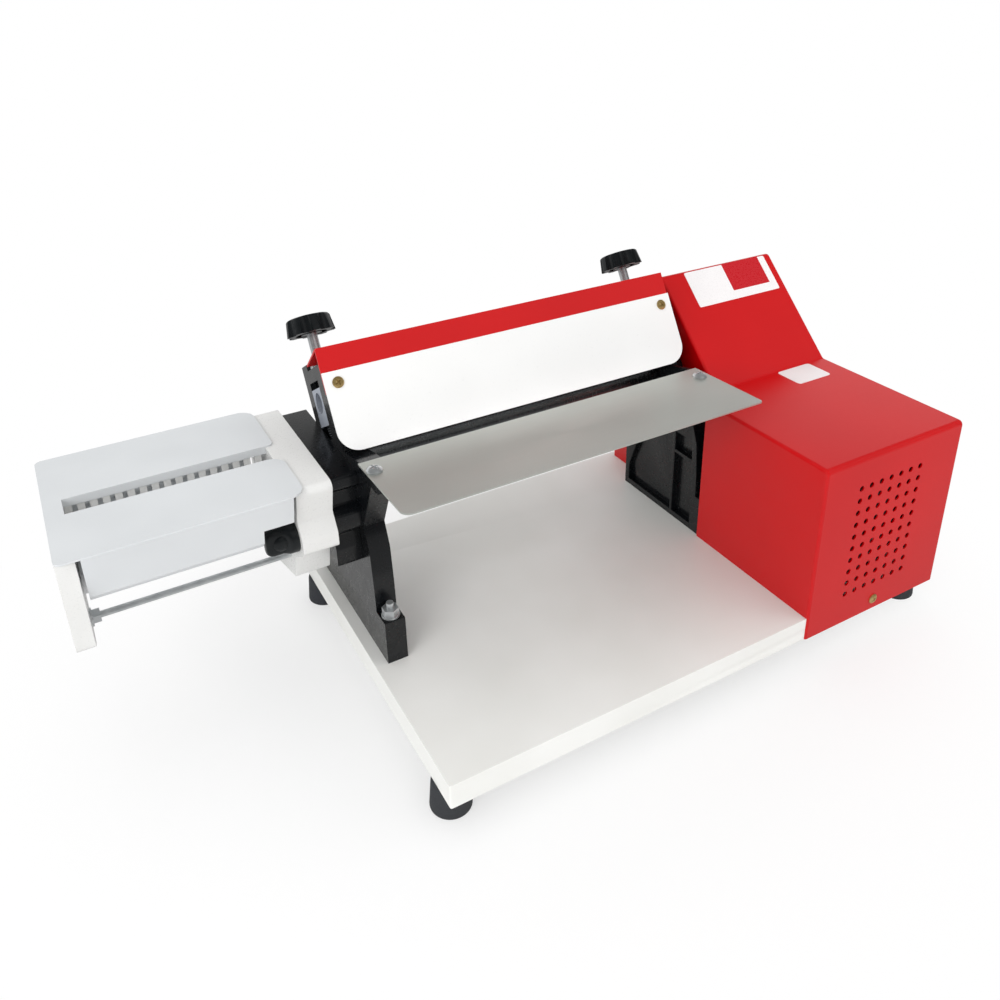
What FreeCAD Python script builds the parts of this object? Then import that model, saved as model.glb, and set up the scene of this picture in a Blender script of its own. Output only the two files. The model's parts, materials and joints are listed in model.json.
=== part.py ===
import FreeCAD, Part
import math
import os
from FreeCAD import Vector

# A bench-top electric dough sheeter: two driven rollers between two cast brackets on a laminated board,
# a sheet-metal drive housing on the right and a strip-cutting head on the left.
# Millimetres. X runs along the rollers, Y goes back, Z goes up.
# The model is drawn from the board's front left top corner and moved to its base centre at the end.

# Board and feet
board_length = 459.0
board_depth = 290.0
board_thick = 20.0
board_edge_round = 1.5
foot_radius = 12.8
foot_toe_radius = 14.8
foot_height = 23.0
foot_inset_side = 10.5
foot_inset_front = 23.0
foot_inset_back = 15.0
foot_recess_radius = 6.0
foot_recess_depth = 8.0
wood_screw_radius = 2.5
wood_screw_bite = 12.0
pan_head_radius = 5.0
pan_head_height = 3.0

# Shared clearances and small sizes
running_clearance = 0.05
skin_clearance = 0.3
fit_clearance = 0.02
overrun = 2.0
washer_thick = 1.5

# Sheet-metal housing
sheet = 1.2
housing_width = 150.2
housing_back_gap = 36.88
flat_height = 133.5
slope_foot = 143.0
tower_gap = 3.5
slope_top = 224.0
slope_top_height = 212.5
back_shoulder_height = 170.0
bend_radius = 4.0
edge_round = 2.5
box_back = 129.6
shaft_hole_gap = 2.0
vent_columns = 7
vent_rows = 10
vent_pitch = 10.85
vent_radius = 2.4
vent_from_left = 39.5
vent_top = 106.5
housing_screw_drop = 10.0
side_screw_places = (70.0, 215.0)

# Lean of the roller frame, set from the lower edge of the front guard
lean_degrees = 30.0
guard_foot_y = 159.0
guard_foot_z = 161.0

# Rollers
roller_radius = 22.0
roller_gap = 0.3
roller_depth = 50.0
nip_rise = 19.5
roller_end_gap = 1.5
roller_bore_radius = 15.0
end_disc_thick = 8.0
journal_radius = 8.0
opening_travel = 5.0

# Cast brackets
bracket_thick = 16.0
left_bracket_x = 9.5
arm_inboard = 11.0
lug_inboard = 8.0
arm_front = 20.0
arm_back = 74.0
arm_top = 68.0
arm_crest = 73.0
arm_crest_front = 59.0
foot_pad_front = 121.0
foot_pad_length = 16.0
foot_pad_height = 36.5
rear_pad_length = 24.0
rear_pad_height = 22.0
base_back = 262.0
throat_back = 214.0
throat_back_height = 112.0
throat_front = 147.0
throat_front_height = 106.0
chest_front = 171.0
chest_drop = 21.0
ankle_front = 137.5
ankle_height = 58.0
shin_front = 140.0
shin_height = 88.0
heel_height = 44.0
cast_wall = 5.5
recess_depth = 5.0
rib_thick = 3.0
rib_place = 169.0
rib_height = 70.0
boss_radius = 20.0
bush_wall = 3.0
window_gap = 1.5
slot_width = 24.0
slot_bottom = 13.0
bolt_radius = 4.0
bolt_head_across = 11.0
bolt_head_height = 5.5
bolt_washer_radius = 7.0
bolt_end_radius = 2.8
bolt_end_rise = 4.5
bolt_bite = 14.0

# Slider blocks, adjusting screws and knobs
block_above = 11.0
block_below = 18.0
block_proud = 0.5
block_top_gap = 0.5
adjust_radius = 4.0
adjust_seat_depth = 2.0
journal_inset = 4.0
adjust_nut_across = 13.0
adjust_nut_height = 6.0
knob_bottom = 94.5
knob_height = 13.0
knob_rim_radius = 18.6
knob_top_radius = 16.6
knob_flute_radius = 5.0
knob_flute_reach = 20.2
knob_flute_count = 8
knob_crown = 2.0
knob_inner_radius = 12.0
knob_hub_radius = 8.0
knob_shell = 3.0
spring_wire = 1.5
spring_radius = 6.0
spring_rings = 6

# Guard, cover and tray
guard_left = 3.5
guard_overhang = 3.5
guard_height = 59.0
guard_thick = 1.5
guard_corner = 16.0
cover_ridge = 77.4
cover_leaf_depth = 32.5
cover_leaf_fall = 7.2
cover_overlap = 15.0
lug_bottom = 45.0
lug_top = 57.0
guard_screw_drop = 8.6
guard_screw_inset_left = 10.0
guard_screw_inset_right = 10.0
guard_screw_head = 4.2
guard_screw_rise = 2.0
guard_screw_radius = 2.0
guard_screw_bite = 9.0
tray_left = 7.0
tray_step = 4.0
tray_back = 139.0
tray_back_height = 163.0
tray_front = 61.0
tray_rise = 2.6
tray_thick = 1.2
tray_corner_left = 7.0
tray_corner_right = 3.0
tray_screw_place = 123.5
tray_screw_inset_left = 6.0
tray_screw_inset_right = 8.5
ear_front = 112.0
ear_depth = 10.0
ear_back = 182.0
scraper_thick = 1.2
scraper_length = 14.0
scraper_gap = 0.8
neck_front = 199.0
neck_back = 219.0
neck_bottom = 94.0
neck_top = 114.0

# Roller gears and drive
gear_addendum_share = 0.9
gear_dedendum_share = 1.15
pressure_degrees = 20.0
flank_shares = (0.0, 0.25, 0.5, 0.75, 1.0)
gear_backlash = 0.2
sync_teeth = 14
sync_gear_width = 12.0
sync_gear_gap = 3.0
drive_teeth = 50
pinion_teeth = 14
drive_module = 1.5
drive_gear_width = 10.0
drive_gear_gap = 3.0
drive_hub_radius = 14.0
lightening_radius = 8.0
lightening_count = 5
pinion_extra = 0.5
counter_radius = 6.0
counter_bush_depth = 10.0
pulley_gap = 5.0
pulley_width = 12.0
belt_width = 9.0
belt_thick = 3.0
large_pulley_radius = 56.0
motor_pulley_radius = 14.0
pulley_flange_rise = 2.5
pulley_flange_thick = 1.2
pulley_web = 4.0
pulley_rim = 5.0
pulley_hub_radius = 12.0
plate_gap = 6.0
plate_thick = 3.0
plate_front = 10.0
plate_back = 250.0
plate_height = 125.0
plate_foot = 22.0
plate_bolt_places = (20.0, 130.0, 240.0)
motor_y = 62.0
motor_z = 61.0
motor_radius = 46.0
motor_wall = 3.0
motor_end_gap = 4.0
motor_bell = 8.0
motor_shaft_radius = 6.0
motor_hub_radius = 12.0
stator_bore = 20.5
stator_inset = 15.0
rotor_radius = 20.0
motor_bolt_circle = 36.0
motor_bolt_count = 4
small_bolt_radius = 2.5
small_bolt_head = 4.5
capacitor_radius = 15.0
capacitor_length = 58.0
capacitor_gap = 20.0
capacitor_y = 150.0
clip_wall = 1.5
clip_width = 12.0
clip_ear = 10.0

# Switch and cord gland
switch_y = 70.0
switch_z = 118.0
switch_width = 20.0
switch_height = 26.0
switch_depth = 18.0
bezel_thick = 2.0
rocker_radius = 10.0
rocker_width = 13.0
rocker_sink = 3.0
rocker_flat = 7.2
rocker_travel_degrees = 20.0
gland_inset = 60.2
gland_z = 30.0
gland_across = 19.0
gland_hex = 5.0
gland_dome = 9.0
gland_radius = 8.0
gland_bore = 3.5
gland_thread_radius = 7.5
gland_nut_thick = 4.0

# Labels, both blank
slope_label_inset = 25.0
slope_label_length = 95.5
slope_label_height = 35.5
slope_label_drop = 2.0
label_thick = 0.4
label_corner = 1.5
rating_label_inset = 22.2
rating_label_length = 38.0
rating_label_front = 114.0
rating_label_depth = 27.0

# Strip-cutting head
head_top = 150.0
adapter_left = -10.0
adapter_back = 262.0
adapter_bottom = 72.0
adapter_round = 3.0
block_left = -36.0
end_plate_right = -175.0
end_plate_thick = 12.0
head_front = 145.0
head_back = 277.0
block_shoulder_front = 158.0
block_shoulder_height = 123.0
block_chin_high = 110.0
block_chin_low = 99.0
block_neck_front = 170.0
block_neck_height = 82.0
block_toe_front = 177.0
block_toe_height = 60.0
block_heel_back = 246.0
block_heel_height = 38.0
leg_front = 147.0
leg_height = 80.0
rib_step = 5.0
cutter_spacing = 29.0
cutter_nip_y = 206.0
cutter_z = 110.0
cutter_ring_radius = 15.8
cutter_core_radius = 12.2
cutter_shaft_radius = 5.0
cutter_rings = 17
cutter_ring_gap = 0.4
cutter_end_gap = 0.5
head_bearing_depth = 8.0
box_wall = 4.0
cutter_gear_width = 7.0
cutter_gear_gap = 1.0
pair_teeth = 16
input_teeth = 14
top_sheet = 1.2
rear_plate_front = 218.0
slot_lip = 5.0
front_plate_back = 197.8
plate_right = -30.0
plate_corner = 12.0
slot_corner = 4.0
back_corner = 5.0
slot_start = 12.0
apron_foot_y = 152.0
apron_foot_z = 114.0
apron_lip = 6.0
apron_end_gap = 3.0
rear_apron_y = 270.0
knob_notch = 15.0
notch_forward = 8.0
notch_up = 6.0
comb_thick = 1.2
comb_inset = 1.2
comb_drop = 22.0
comb_bar = 1.0
comb_tooth_share = 0.6
tie_rod_radius = 2.3
tie_rod_front_y = 185.0
tie_rod_rear_y = 232.0
tie_rod_z = 76.0
tie_rod_bite = 8.0
tie_nut_across = 9.0
tie_nut_height = 5.0
tie_washer_radius = 6.5
lock_y = 162.3
lock_z = 106.5
lock_collar_radius = 12.0
lock_collar_length = 6.0
lock_grip_length = 16.0
lock_grip_width = 21.0
lock_grip_thick = 12.0
lock_shank_radius = 4.0
lock_shank_length = 8.0

# Places worked out from the sizes above
lean = math.radians(lean_degrees)
pressure = math.radians(pressure_degrees)
housing_right = board_length + sheet
housing_left = housing_right - housing_width
left_bracket_right = left_bracket_x + bracket_thick
lower_cast_x = housing_left + window_gap
lower_cast_right = lower_cast_x + bracket_thick
right_arm_x = housing_left - arm_inboard
right_lug_left = right_arm_x - lug_inboard
right_lug_right = right_lug_left + bracket_thick
guard_right = right_lug_right + guard_overhang
tray_right = right_lug_right - tray_step
guard_screw_xs = (guard_left + guard_screw_inset_left, guard_right - guard_screw_inset_right)
tray_screw_xs = (tray_left + tray_screw_inset_left, tray_right - tray_screw_inset_right)
chest_front_height = tray_back_height - chest_drop
tower_left = lower_cast_right + tower_gap
sync_gear_x = tower_left + sync_gear_gap
drive_gear_x = sync_gear_x + sync_gear_width + drive_gear_gap
pulley_x = drive_gear_x + drive_gear_width + pulley_gap
plate_x = pulley_x + pulley_width + plate_gap
roller_left = left_bracket_right + roller_end_gap
roller_right = right_arm_x - roller_end_gap
roller_spacing = 2.0 * roller_radius + roller_gap
upper_rise = nip_rise + roller_spacing / 2.0
lower_rise = nip_rise - roller_spacing / 2.0
slot_top = upper_rise + block_above + opening_travel + block_top_gap
bush_radius = journal_radius + running_clearance + bush_wall


def leaned_place(depth, rise):
    """Y and Z of a point given by its depth behind the guard and its rise along it."""
    y = guard_foot_y + rise * math.sin(lean) + depth * math.cos(lean)
    z = guard_foot_z + rise * math.cos(lean) - depth * math.sin(lean)
    return y, z


def leaned(shape):
    """Tip a shape drawn upright, with Y as depth and Z as rise, back onto the leaning frame."""
    moved = shape.copy()
    moved.rotate(Vector(0, 0, 0), Vector(1, 0, 0), -lean_degrees)
    moved.translate(Vector(0, guard_foot_y, guard_foot_z))
    return moved


lower_y, lower_z = leaned_place(roller_depth, lower_rise)
upper_y, upper_z = leaned_place(roller_depth, upper_rise)
upper_gear_radius = roller_spacing * (1.0 / 2.0 + gear_addendum_share / sync_teeth)
housing_back = upper_y + upper_gear_radius + housing_back_gap
slope_label_left = tower_left + slope_label_inset
rating_label_left = housing_right - rating_label_inset - rating_label_length
gland_x = housing_right - gland_inset
motor_x = plate_x + plate_thick
motor_right = housing_right - sheet - motor_end_gap
stator_x = motor_x + stator_inset
stator_length = motor_right - stator_inset - stator_x
capacitor_x = plate_x + plate_thick + capacitor_gap + capacitor_radius + clip_ear
gear_centres = drive_module * (drive_teeth + pinion_teeth) / 2.0
counter_y = lower_y
counter_z = lower_z - gear_centres
front_cutter_y = cutter_nip_y - cutter_spacing / 2.0
rear_cutter_y = cutter_nip_y + cutter_spacing / 2.0
gear_box_left = block_left + box_wall
pair_gear_x = gear_box_left + cutter_gear_gap
input_gear_x = pair_gear_x + cutter_gear_width + cutter_gear_gap
input_gear_end = input_gear_x + cutter_gear_width


# Small builders

def box(x0, x1, y0, y1, z0, z1):
    """A box between two corners."""
    return Part.makeBox(x1 - x0, y1 - y0, z1 - z0, Vector(x0, y0, z0))


def rod_x(x0, x1, y, z, radius):
    """A cylinder along X."""
    return Part.makeCylinder(radius, x1 - x0, Vector(x0, y, z), Vector(1, 0, 0))


def rod_y(x, y0, y1, z, radius):
    """A cylinder along Y."""
    return Part.makeCylinder(radius, y1 - y0, Vector(x, y0, z), Vector(0, 1, 0))


def rod_z(x, y, z0, z1, radius):
    """A cylinder along Z."""
    return Part.makeCylinder(radius, z1 - z0, Vector(x, y, z0), Vector(0, 0, 1))


def fused(shapes):
    """One clean shape from several that touch or overlap."""
    whole = shapes[0]
    for shape in shapes[1:]:
        whole = whole.fuse(shape)
    return whole.removeSplitter()


def pierced(shape, cutters):
    """The shape with every cutter taken out of it."""
    for cutter in cutters:
        shape = shape.cut(cutter)
    return shape


def outline(points, radii, place):
    """A closed wire through 2-D points, each corner rounded by its radius; place maps to space."""
    count = len(points)
    edges = []
    starts = []
    ends = []
    middles = []
    for index in range(count):
        here = points[index]
        before = points[index - 1]
        after = points[(index + 1) % count]
        radius = radii[index]
        if radius <= 0:
            starts.append(here)
            ends.append(here)
            middles.append(None)
            continue
        back = (before[0] - here[0], before[1] - here[1])
        ahead = (after[0] - here[0], after[1] - here[1])
        back_length = math.hypot(*back)
        ahead_length = math.hypot(*ahead)
        back = (back[0] / back_length, back[1] / back_length)
        ahead = (ahead[0] / ahead_length, ahead[1] / ahead_length)
        half = math.acos(max(-1.0, min(1.0, back[0] * ahead[0] + back[1] * ahead[1]))) / 2.0
        reach = radius / math.tan(half)
        middle = (back[0] + ahead[0], back[1] + ahead[1])
        middle_length = math.hypot(*middle)
        inward = radius / math.sin(half) - radius
        starts.append((here[0] + back[0] * reach, here[1] + back[1] * reach))
        ends.append((here[0] + ahead[0] * reach, here[1] + ahead[1] * reach))
        middles.append((here[0] + middle[0] / middle_length * inward,
                        here[1] + middle[1] / middle_length * inward))
    for index in range(count):
        if middles[index] is not None:
            arc = Part.Arc(place(*starts[index]), place(*middles[index]), place(*ends[index]))
            edges.append(arc.toShape())
        following = starts[(index + 1) % count]
        edges.append(Part.makeLine(place(*ends[index]), place(*following)))
    return Part.Wire(edges)


def prism_yz(points, x0, x1, radii=None):
    """A prism along X over an outline of Y and Z."""
    wire = outline(points, radii or [0] * len(points), lambda y, z: Vector(x0, y, z))
    return Part.Face(wire).extrude(Vector(x1 - x0, 0, 0))


def prism_xy(points, z0, z1, radii=None):
    """A prism along Z over an outline of X and Y."""
    wire = outline(points, radii or [0] * len(points), lambda x, y: Vector(x, y, z0))
    return Part.Face(wire).extrude(Vector(0, 0, z1 - z0))


def prism_xz(points, y0, y1, radii=None):
    """A prism along Y over an outline of X and Z."""
    wire = outline(points, radii or [0] * len(points), lambda x, z: Vector(x, y0, z))
    return Part.Face(wire).extrude(Vector(0, y1 - y0, 0))


def ring_points(u, v, across, count):
    """Corners of a regular polygon, given its width across flats."""
    radius = across / 2.0 / math.cos(math.pi / count)
    turns = [2.0 * math.pi * (k + 0.5) / count for k in range(count)]
    return [(u + radius * math.cos(turn), v + radius * math.sin(turn)) for turn in turns]


def inset(points, distance):
    """An anticlockwise or clockwise outline moved inwards by a distance."""
    area = 0.0
    count = len(points)
    for index in range(count):
        here = points[index]
        after = points[(index + 1) % count]
        area += here[0] * after[1] - after[0] * here[1]
    side = 1.0 if area > 0 else -1.0
    lines = []
    for index in range(count):
        here = points[index]
        after = points[(index + 1) % count]
        run = (after[0] - here[0], after[1] - here[1])
        length = math.hypot(*run)
        normal = (-run[1] / length * side, run[0] / length * side)
        lines.append((here[0] + normal[0] * distance, here[1] + normal[1] * distance, run[0], run[1]))
    moved = []
    for index in range(count):
        x1, y1, dx1, dy1 = lines[index - 1]
        x2, y2, dx2, dy2 = lines[index]
        cross = dx1 * dy2 - dy1 * dx2
        along = ((x2 - x1) * dy2 - (y2 - y1) * dx2) / cross
        moved.append((x1 + along * dx1, y1 + along * dy1))
    return moved


def folded(points, thick):
    """The outline of a folded sheet: the given line and its copy offset to the right of its run."""
    lines = []
    for here, after in zip(points[:-1], points[1:]):
        run = (after[0] - here[0], after[1] - here[1])
        length = math.hypot(*run)
        lines.append((here[0] + run[1] / length * thick, here[1] - run[0] / length * thick, *run))
    first = lines[0]
    last = lines[-1]
    moved = [(first[0], first[1])]
    for before, after in zip(lines[:-1], lines[1:]):
        cross = before[2] * after[3] - before[3] * after[2]
        along = ((after[0] - before[0]) * after[3] - (after[1] - before[1]) * after[2]) / cross
        moved.append((before[0] + along * before[2], before[1] + along * before[3]))
    moved.append((last[0] + last[2], last[1] + last[3]))
    return list(points) + moved[::-1]


def bearing(from_y, from_z, to_y, to_z):
    """The angle of the line from one axis to another, seen along X."""
    return math.atan2(to_z - from_z, to_y - from_y)


def gear(x0, width, y, z, teeth, module, phase, bore):
    """An involute spur gear on an axis along X, with one tooth at the phase angle."""
    pitch_radius = module * teeth / 2.0
    base_radius = pitch_radius * math.cos(pressure)
    tip_radius = pitch_radius + gear_addendum_share * module
    root_radius = pitch_radius - gear_dedendum_share * module
    flank_start = max(base_radius, root_radius)
    half_tooth = math.pi / 2.0 / teeth - gear_backlash / 2.0 / pitch_radius
    involute_at_pitch = math.tan(pressure) - pressure

    def half_angle(radius):
        roll = math.acos(min(1.0, base_radius / radius))
        return half_tooth + involute_at_pitch - math.tan(roll) + roll

    radii = [flank_start + (tip_radius - flank_start) * share for share in flank_shares]
    points = []
    for tooth in range(teeth):
        middle = phase + 2.0 * math.pi * tooth / teeth
        rising = [(radius, middle - half_angle(radius)) for radius in radii]
        falling = [(radius, middle + half_angle(radius)) for radius in reversed(radii)]
        foot = half_angle(flank_start)
        tooth_side = rising + falling
        if root_radius < flank_start:
            tooth_side = [(root_radius, middle - foot)] + tooth_side + [(root_radius, middle + foot)]
        points += [(y + radius * math.cos(turn), z + radius * math.sin(turn))
                   for radius, turn in tooth_side]
    blank = prism_yz(points, x0, x0 + width)
    return blank.cut(rod_x(x0 - overrun, x0 + width + overrun, y, z, bore))


def hex_stud(x, y, seat, bite):
    """A stud pointing down with its hexagon nut, the washer resting at the seat height."""
    washer = rod_z(x, y, seat, seat + washer_thick, bolt_washer_radius)
    nut_foot = seat + washer_thick
    nut_top = nut_foot + bolt_head_height
    nut = prism_xy(ring_points(x, y, bolt_head_across, 6), nut_foot, nut_top)
    end = rod_z(x, y, nut_top, nut_top + bolt_end_rise, bolt_end_radius)
    shank = rod_z(x, y, seat - bite, nut_foot, bolt_radius)
    return fused([washer, nut, end, shank])


def under_bolt(x, y, seat, bite):
    """A hexagon bolt pointing up, its washer under the seat height."""
    washer = rod_z(x, y, seat - washer_thick, seat, bolt_washer_radius)
    head_top_z = seat - washer_thick
    head = prism_xy(ring_points(x, y, bolt_head_across, 6), head_top_z - bolt_head_height, head_top_z)
    shank = rod_z(x, y, head_top_z, seat + bite, bolt_radius)
    return fused([washer, head, shank])


nodes = {}


# Board, feet and their screws

foot_places = [(x, y) for x in (foot_inset_side, board_length - foot_inset_side)
               for y in (foot_inset_front, board_depth - foot_inset_back)]
front_pad_y = foot_pad_front + foot_pad_length / 2.0
heel_back = base_back - rear_pad_length
rear_pad_y = base_back - rear_pad_length / 2.0
left_bolt_x = left_bracket_x + bracket_thick / 2.0
right_bolt_x = lower_cast_x + bracket_thick / 2.0
bolt_places = [(left_bolt_x, front_pad_y, foot_pad_height), (left_bolt_x, rear_pad_y, rear_pad_height),
               (right_bolt_x, front_pad_y, foot_pad_height)]
under_bolt_x = lower_cast_x + (recess_depth + bracket_thick) / 2.0
under_bolt_y = heel_back - bolt_bite
plate_bolt_x = plate_x + plate_thick + (plate_foot - plate_thick) / 2.0
front_screw_x = (housing_left + housing_right) / 2.0


def make_board():
    """The laminated board with its screw holes."""
    board = box(0, board_length, 0, board_depth, -board_thick, 0)
    uprights = [edge for edge in board.Edges if abs(edge.tangentAt(edge.FirstParameter).z) > 0.5]
    board = board.makeFillet(board_edge_round, uprights)
    holes = []
    for x, y in foot_places:
        holes.append(rod_z(x, y, -board_thick - overrun, wood_screw_bite - board_thick,
                           wood_screw_radius + fit_clearance))
    for x, y, seat in bolt_places:
        holes.append(rod_z(x, y, -bolt_bite, overrun, bolt_radius + fit_clearance))
    holes.append(rod_z(under_bolt_x, under_bolt_y, -board_thick - overrun, overrun,
                       bolt_radius + fit_clearance))
    for y in plate_bolt_places:
        holes.append(rod_z(plate_bolt_x, y, -wood_screw_bite, overrun, wood_screw_radius + fit_clearance))
    holes.append(rod_y(front_screw_x, -overrun, wood_screw_bite, -housing_screw_drop,
                       wood_screw_radius + fit_clearance))
    for y in side_screw_places:
        holes.append(rod_x(board_length - wood_screw_bite, board_length + overrun, y,
                           -housing_screw_drop, wood_screw_radius + fit_clearance))
    return pierced(board, holes)


def make_foot(x, y):
    """A tapered rubber foot with a recess for its screw."""
    foot = Part.makeCone(foot_toe_radius, foot_radius, foot_height,
                         Vector(x, y, -board_thick - foot_height))
    recess = rod_z(x, y, -board_thick - foot_height - overrun,
                   -board_thick - foot_height + foot_recess_depth, foot_recess_radius)
    hole = rod_z(x, y, -board_thick - foot_height, overrun - board_thick,
                 wood_screw_radius + fit_clearance)
    return pierced(foot, [recess, hole])


def make_foot_screw(x, y):
    """The pan-head screw that holds one foot."""
    head_top_z = -board_thick - foot_height + foot_recess_depth
    head = rod_z(x, y, head_top_z - pan_head_height, head_top_z, pan_head_radius)
    shank = rod_z(x, y, head_top_z, wood_screw_bite - board_thick, wood_screw_radius)
    return fused([head, shank])


nodes["base_board"] = make_board()
nodes["rubber_feet"] = Part.makeCompound([make_foot(x, y) for x, y in foot_places])
nodes["foot_screws"] = Part.makeCompound([make_foot_screw(x, y) for x, y in foot_places])


# Cast brackets

def tray_height(y):
    """Height of the tray's underside at a place along Y."""
    share = (tray_back - y) / (tray_back - tray_front)
    return tray_back_height + tray_rise * share - tray_thick


def lower_outline(rear_pad):
    """Side outline of a bracket below its arm, with or without a pad for a rear bolt."""
    front = [(foot_pad_front, 0), (foot_pad_front, foot_pad_height),
             (foot_pad_front + foot_pad_length, foot_pad_height),
             (foot_pad_front + foot_pad_length, heel_height), (ankle_front, ankle_height),
             (shin_front, shin_height), (throat_front, throat_front_height),
             (chest_front, chest_front_height), (throat_back, throat_back_height),
             (heel_back, heel_height)]
    if rear_pad:
        return front + [(heel_back, rear_pad_height), (base_back, rear_pad_height), (base_back, 0)]
    return front + [(heel_back, 0)]


def recess_outline():
    """Side outline of the shallow hollow in one side of a bracket."""
    return [(foot_pad_front + foot_pad_length + cast_wall, cast_wall),
            (foot_pad_front + foot_pad_length + cast_wall, heel_height),
            (shin_front + cast_wall, shin_height), (throat_front + cast_wall, shin_height),
            (throat_back - cast_wall, shin_height),
            (heel_back - cast_wall, rear_pad_height), (heel_back - cast_wall, cast_wall)]


def make_lower_casting(x0, hollow_left, rear_pad):
    """The foot, shin and ribbed web of one bracket, hollow on one side."""
    body = prism_yz(lower_outline(rear_pad), x0, x0 + bracket_thick)
    if hollow_left:
        hollow = prism_yz(recess_outline(), x0 - overrun, x0 + recess_depth)
    else:
        hollow = prism_yz(recess_outline(), x0 + bracket_thick - recess_depth,
                          x0 + bracket_thick + overrun)
    ribs = [box(x0, x0 + bracket_thick, rib_place - rib_thick / 2.0, rib_place + rib_thick / 2.0,
                cast_wall, shin_height),
            box(x0, x0 + bracket_thick, shin_front, rib_place, rib_height - rib_thick, rib_height)]
    ribs.append(rod_x(x0, x0 + bracket_thick, counter_y, counter_z, boss_radius - cast_wall))
    kept = [rib.common(body) for rib in ribs]
    return fused([body.cut(hollow)] + kept)


def make_arm(x0, lug_left, lug_right, ear_right):
    """The leaning arm of one bracket, with its block slot, guard lug and tray ear."""
    x1 = x0 + bracket_thick
    side = [leaned_place(arm_front, lower_rise), leaned_place(arm_front, arm_top),
            leaned_place(arm_crest_front, arm_top), leaned_place(arm_crest_front, arm_crest),
            leaned_place(arm_back, arm_crest), leaned_place(arm_back, lower_rise),
            (throat_back, throat_back_height), (chest_front, chest_front_height)]
    arm = prism_yz(side, x0, x1)
    lug = leaned(box(lug_left, lug_right, guard_thick * 2.0, arm_front + overrun, lug_bottom, lug_top))
    lug_root = leaned(box(x0, x1, arm_front - overrun * 2.0, arm_front + overrun, lug_bottom, lug_top))
    ear_foot = tray_height(tray_back) - ear_depth
    ear = [(ear_front, tray_height(ear_front)), (tray_back, tray_height(tray_back)),
           (tray_back, ear_foot), (ear_front, ear_foot)]
    root = [(tray_screw_place, tray_height(tray_screw_place)), (tray_back, tray_height(tray_back)),
            (ear_back, ear_foot), (ear_back, chest_front_height), (throat_front, throat_front_height),
            (tray_screw_place, ear_foot)]
    boss = rod_x(x0, x1, lower_y, lower_z, boss_radius)
    return fused([arm, lug, lug_root, prism_yz(ear, lug_left, ear_right), prism_yz(root, x0, ear_right),
                  boss])


def slot_cutters(x0):
    """Cutters for the block slot, the adjusting screw and the guard screw of the arm at x0."""
    x1 = x0 + bracket_thick
    middle = (x0 + x1) / 2.0
    slot = leaned(box(x0 - overrun, x1 + overrun, roller_depth - slot_width / 2.0,
                      roller_depth + slot_width / 2.0, slot_bottom, slot_top))
    screw_hole = leaned(rod_z(middle, roller_depth, slot_bottom + overrun, arm_top + overrun,
                              adjust_radius + skin_clearance))
    return [slot, screw_hole]


def guard_screw_cutter(x):
    """The hole for one guard screw, through cover, guard and lug."""
    rise = guard_height - guard_screw_drop
    return leaned(rod_y(x, -overrun, guard_thick + guard_screw_bite + overrun, rise,
                        guard_screw_radius + fit_clearance))


tray_lean_degrees = -math.degrees(math.atan2(tray_rise, tray_back - tray_front))
tray_screw_z = tray_height(tray_screw_place) + tray_thick
right_arm_middle = right_arm_x + bracket_thick / 2.0


def tray_screw_part(x, above, below, radius):
    """A cylinder square to the tray at one tray screw, reaching above and below its top face."""
    part = rod_z(0, 0, -below, above, radius)
    part.rotate(Vector(0, 0, 0), Vector(1, 0, 0), tray_lean_degrees)
    part.translate(Vector(x, tray_screw_place, tray_screw_z))
    return part


def tray_screw_hole(x):
    """The clearance hole of one tray screw."""
    return tray_screw_part(x, overrun, ear_depth, guard_screw_radius + fit_clearance)


def bolt_holes():
    """Holes in the brackets for their bolts."""
    holes = [rod_z(x, y, -overrun, seat + overrun, bolt_radius + fit_clearance)
             for x, y, seat in bolt_places]
    return holes + [rod_z(under_bolt_x, under_bolt_y, -overrun, bolt_bite, bolt_radius + fit_clearance)]


def make_left_bracket():
    """The left bracket, one casting."""
    whole = fused([make_lower_casting(left_bracket_x, False, True),
                   make_arm(left_bracket_x, left_bracket_x, left_bracket_right,
                             left_bracket_right)])
    bore = rod_x(left_bracket_x - overrun, left_bracket_right + overrun, lower_y, lower_z,
                 bush_radius + fit_clearance)
    cutters = slot_cutters(left_bracket_x) + bolt_holes() + [bore]
    cutters += [guard_screw_cutter(guard_screw_xs[0]), tray_screw_hole(tray_screw_xs[0])]
    return pierced(whole, cutters)


def make_right_bracket():
    """The right bracket: its arm stands inboard of the housing and its foot just inside it."""
    neck = [rod_x(right_arm_x, lower_cast_right, lower_y, lower_z, boss_radius),
            box(right_arm_x, lower_cast_right, neck_front, neck_back, neck_bottom, neck_top)]
    whole = fused([make_lower_casting(lower_cast_x, True, False),
                   make_arm(right_arm_x, right_lug_left, right_lug_right, tray_right)] + neck)
    bore = rod_x(right_arm_x - overrun, lower_cast_right + overrun, lower_y, lower_z,
                 bush_radius + fit_clearance)
    counter_bore = rod_x(lower_cast_right - counter_bush_depth, lower_cast_right + overrun,
                         counter_y, counter_z, counter_radius + running_clearance + bush_wall)
    cutters = slot_cutters(right_arm_x) + bolt_holes() + [bore, counter_bore]
    cutters += [guard_screw_cutter(guard_screw_xs[1]), tray_screw_hole(tray_screw_xs[1])]
    return pierced(whole, cutters)


nodes["left_bracket"] = make_left_bracket()
nodes["right_bracket"] = make_right_bracket()
under_bolt_reach = board_thick + bolt_bite - skin_clearance
nodes["bracket_bolts"] = Part.makeCompound(
    [hex_stud(x, y, seat, seat + bolt_bite) for x, y, seat in bolt_places]
    + [under_bolt(under_bolt_x, under_bolt_y, -board_thick, under_bolt_reach)])


# Drive housing

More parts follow.
